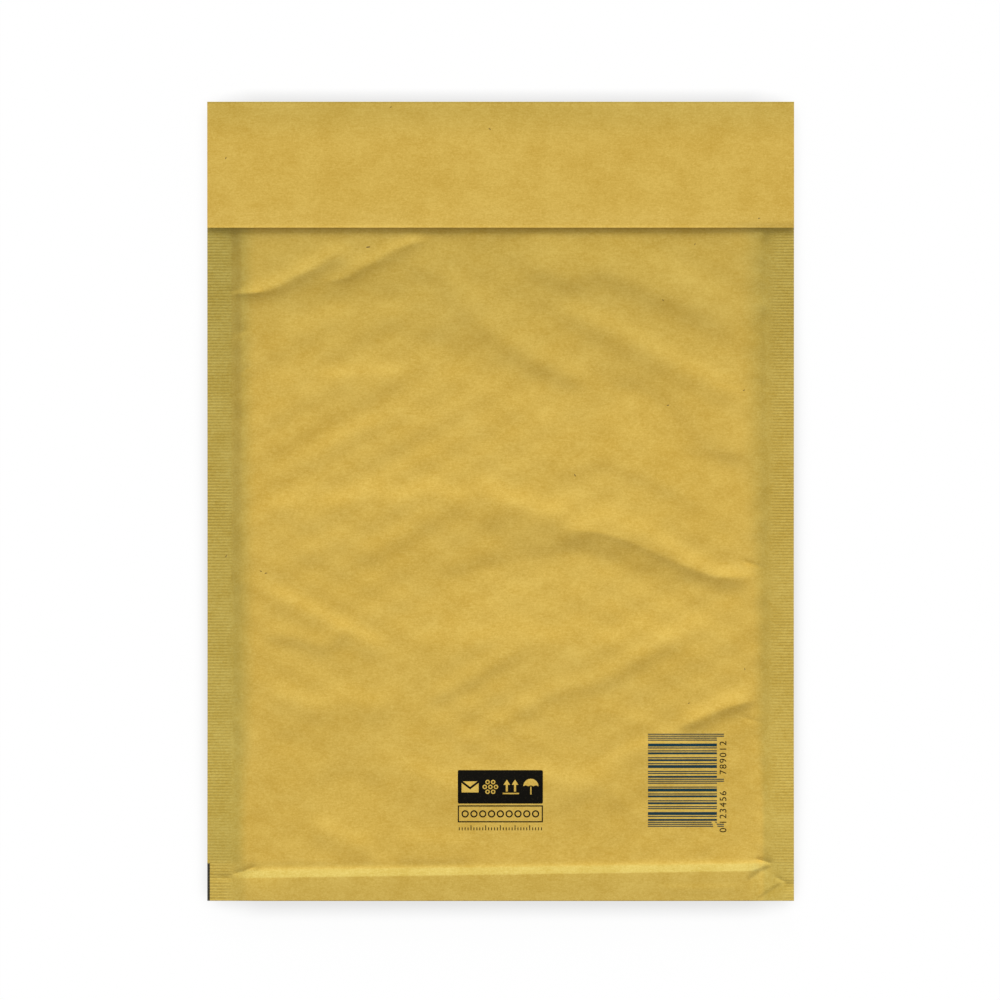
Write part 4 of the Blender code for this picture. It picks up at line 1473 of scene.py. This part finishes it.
class ENVELOPE_OT_stage(PaddedOperator, bpy.types.Operator):
    """Set the white floor, the soft light from the flap's side and the camera straight above"""

    bl_idname = "envelope.stage"
    bl_label = "Stage"

    def build(self, scene):
        """Floor, sun lamp, world and camera."""
        settings = scene.envelope_stage
        scene.view_settings.view_transform = "Standard"
        self.lay_floor(settings)
        self.light(scene, settings)
        self.place_camera(scene, settings)

    def seen(self, tree):
        """1 where a ray sees the place straight, in gloss or through film, 0 where it gathers light."""
        path = add(tree, "ShaderNodeLightPath").outputs
        share = path["Is Camera Ray"]
        for kind in ("Is Glossy Ray", "Is Transmission Ray"):
            share = add(tree, "ShaderNodeMath", {0: share, 1: path[kind]}, operation="MAXIMUM").outputs[0]
        return share

    def lay_floor(self, settings):
        """A white floor that fades out into the background, with the shadow as a soft grey rim on it."""
        bm = bmesh.new()
        bmesh.ops.create_grid(bm, x_segments=8, y_segments=8, size=1.6)
        material, tree, output = new_material("white_floor")
        floor = object_from(bm, "floor", material)
        white = (*settings.floor_colour, 1)

        # The rim is up to 9 mm wide, and ends where no more than 7 % of the sky over it is hidden
        near = add(tree, "ShaderNodeAmbientOcclusion", {"Distance": 0.009}, samples=16)
        levels = {0: near.outputs["AO"], 1: 0.55, 2: 0.93, 3: 0.78, 4: 1.0}
        shade = add(tree, "ShaderNodeMapRange", levels).outputs[0]
        glow = add(tree, "ShaderNodeEmission", {"Color": white, "Strength": shade}).outputs[0]
        matt = add(tree, "ShaderNodeBsdfDiffuse", {"Color": white}).outputs[0]
        share = add(tree, "ShaderNodeMath", {0: self.seen(tree), 1: 0.975}, operation="MULTIPLY").outputs[0]
        mixed = add(tree, "ShaderNodeMixShader", {0: share, 1: matt, 2: glow}).outputs[0]
        tree.links.new(mixed, output.inputs[0])

    def light(self, scene, settings):
        """One soft sun lamp and an even world; together they give a level white surface the strength 1."""
        key = bpy.data.lights.new("key", "SUN")
        key.angle = settings.key_size
        key.energy = settings.key_share * pi / sin(settings.key_elevation)
        lamp = bpy.data.objects.new("key", key)
        lamp.rotation_euler = (settings.key_elevation - pi / 2, 0, 0)
        lamp.location = (0, 1, 1)
        scene.collection.objects.link(lamp)
        world = bpy.data.worlds.new("studio")
        scene.world = world
        world.use_nodes = True
        tree = world.node_tree
        tree.nodes.clear()
        levels = {0: self.seen(tree), 3: 1 - settings.key_share, 4: 1.0}
        strength = add(tree, "ShaderNodeMapRange", levels).outputs[0]
        background = add(tree, "ShaderNodeBackground", {"Color": (1, 1, 1, 1), "Strength": strength})
        output = add(tree, "ShaderNodeOutputWorld")
        tree.links.new(background.outputs[0], output.inputs[0])

    def place_camera(self, scene, settings):
        """A long lens straight above the envelope."""
        data = bpy.data.cameras.new("camera")
        data.lens = 600
        data.clip_start = 0.05
        data.clip_end = 20
        camera = bpy.data.objects.new("camera", data)
        distance = settings.view_width * data.lens / data.sensor_width
        camera.location = (*CAMERA_AT, distance + PANEL_TOP * MM)
        scene.collection.objects.link(camera)
        scene.camera = camera


OPERATORS = (
    ENVELOPE_OT_cover,
    ENVELOPE_OT_print,
    ENVELOPE_OT_lining,
    ENVELOPE_OT_closure,
    ENVELOPE_OT_stage,
)
SETTINGS = {
    "envelope_cover": CoverSettings,
    "envelope_lining": LiningSettings,
    "envelope_closure": ClosureSettings,
    "envelope_stage": StageSettings,
}


class ENVELOPE_PT_builder(bpy.types.Panel):
    """Builds the envelope piece by piece"""

    bl_idname = "ENVELOPE_PT_builder"
    bl_label = "Padded Envelope"
    bl_space_type = "VIEW_3D"
    bl_region_type = "UI"
    bl_category = "Envelope"

    def draw(self, context):
        """A button for each operator, and the settings under them."""
        for operator in OPERATORS:
            self.layout.operator(operator.bl_idname)
        for name, group in SETTINGS.items():
            box = self.layout.box()
            for setting in group.__annotations__:
                box.prop(getattr(context.scene, name), setting)


def register():
    """Register the settings, the operators and the panel."""
    for name, group in SETTINGS.items():
        bpy.utils.register_class(group)
        setattr(bpy.types.Scene, name, PointerProperty(type=group))
    for operator in OPERATORS:
        bpy.utils.register_class(operator)
    bpy.utils.register_class(ENVELOPE_PT_builder)


def unregister():
    """Take everything out again."""
    bpy.utils.unregister_class(ENVELOPE_PT_builder)
    for operator in reversed(OPERATORS):
        bpy.utils.unregister_class(operator)
    for name, group in SETTINGS.items():
        delattr(bpy.types.Scene, name)
        bpy.utils.unregister_class(group)


def main():
    """Build the envelope and its stage."""
    register()
    bpy.ops.envelope.cover()
    bpy.ops.envelope.print()
    bpy.ops.envelope.lining()
    bpy.ops.envelope.closure()
    bpy.ops.envelope.stage()


if __name__ == "__main__":
    main()
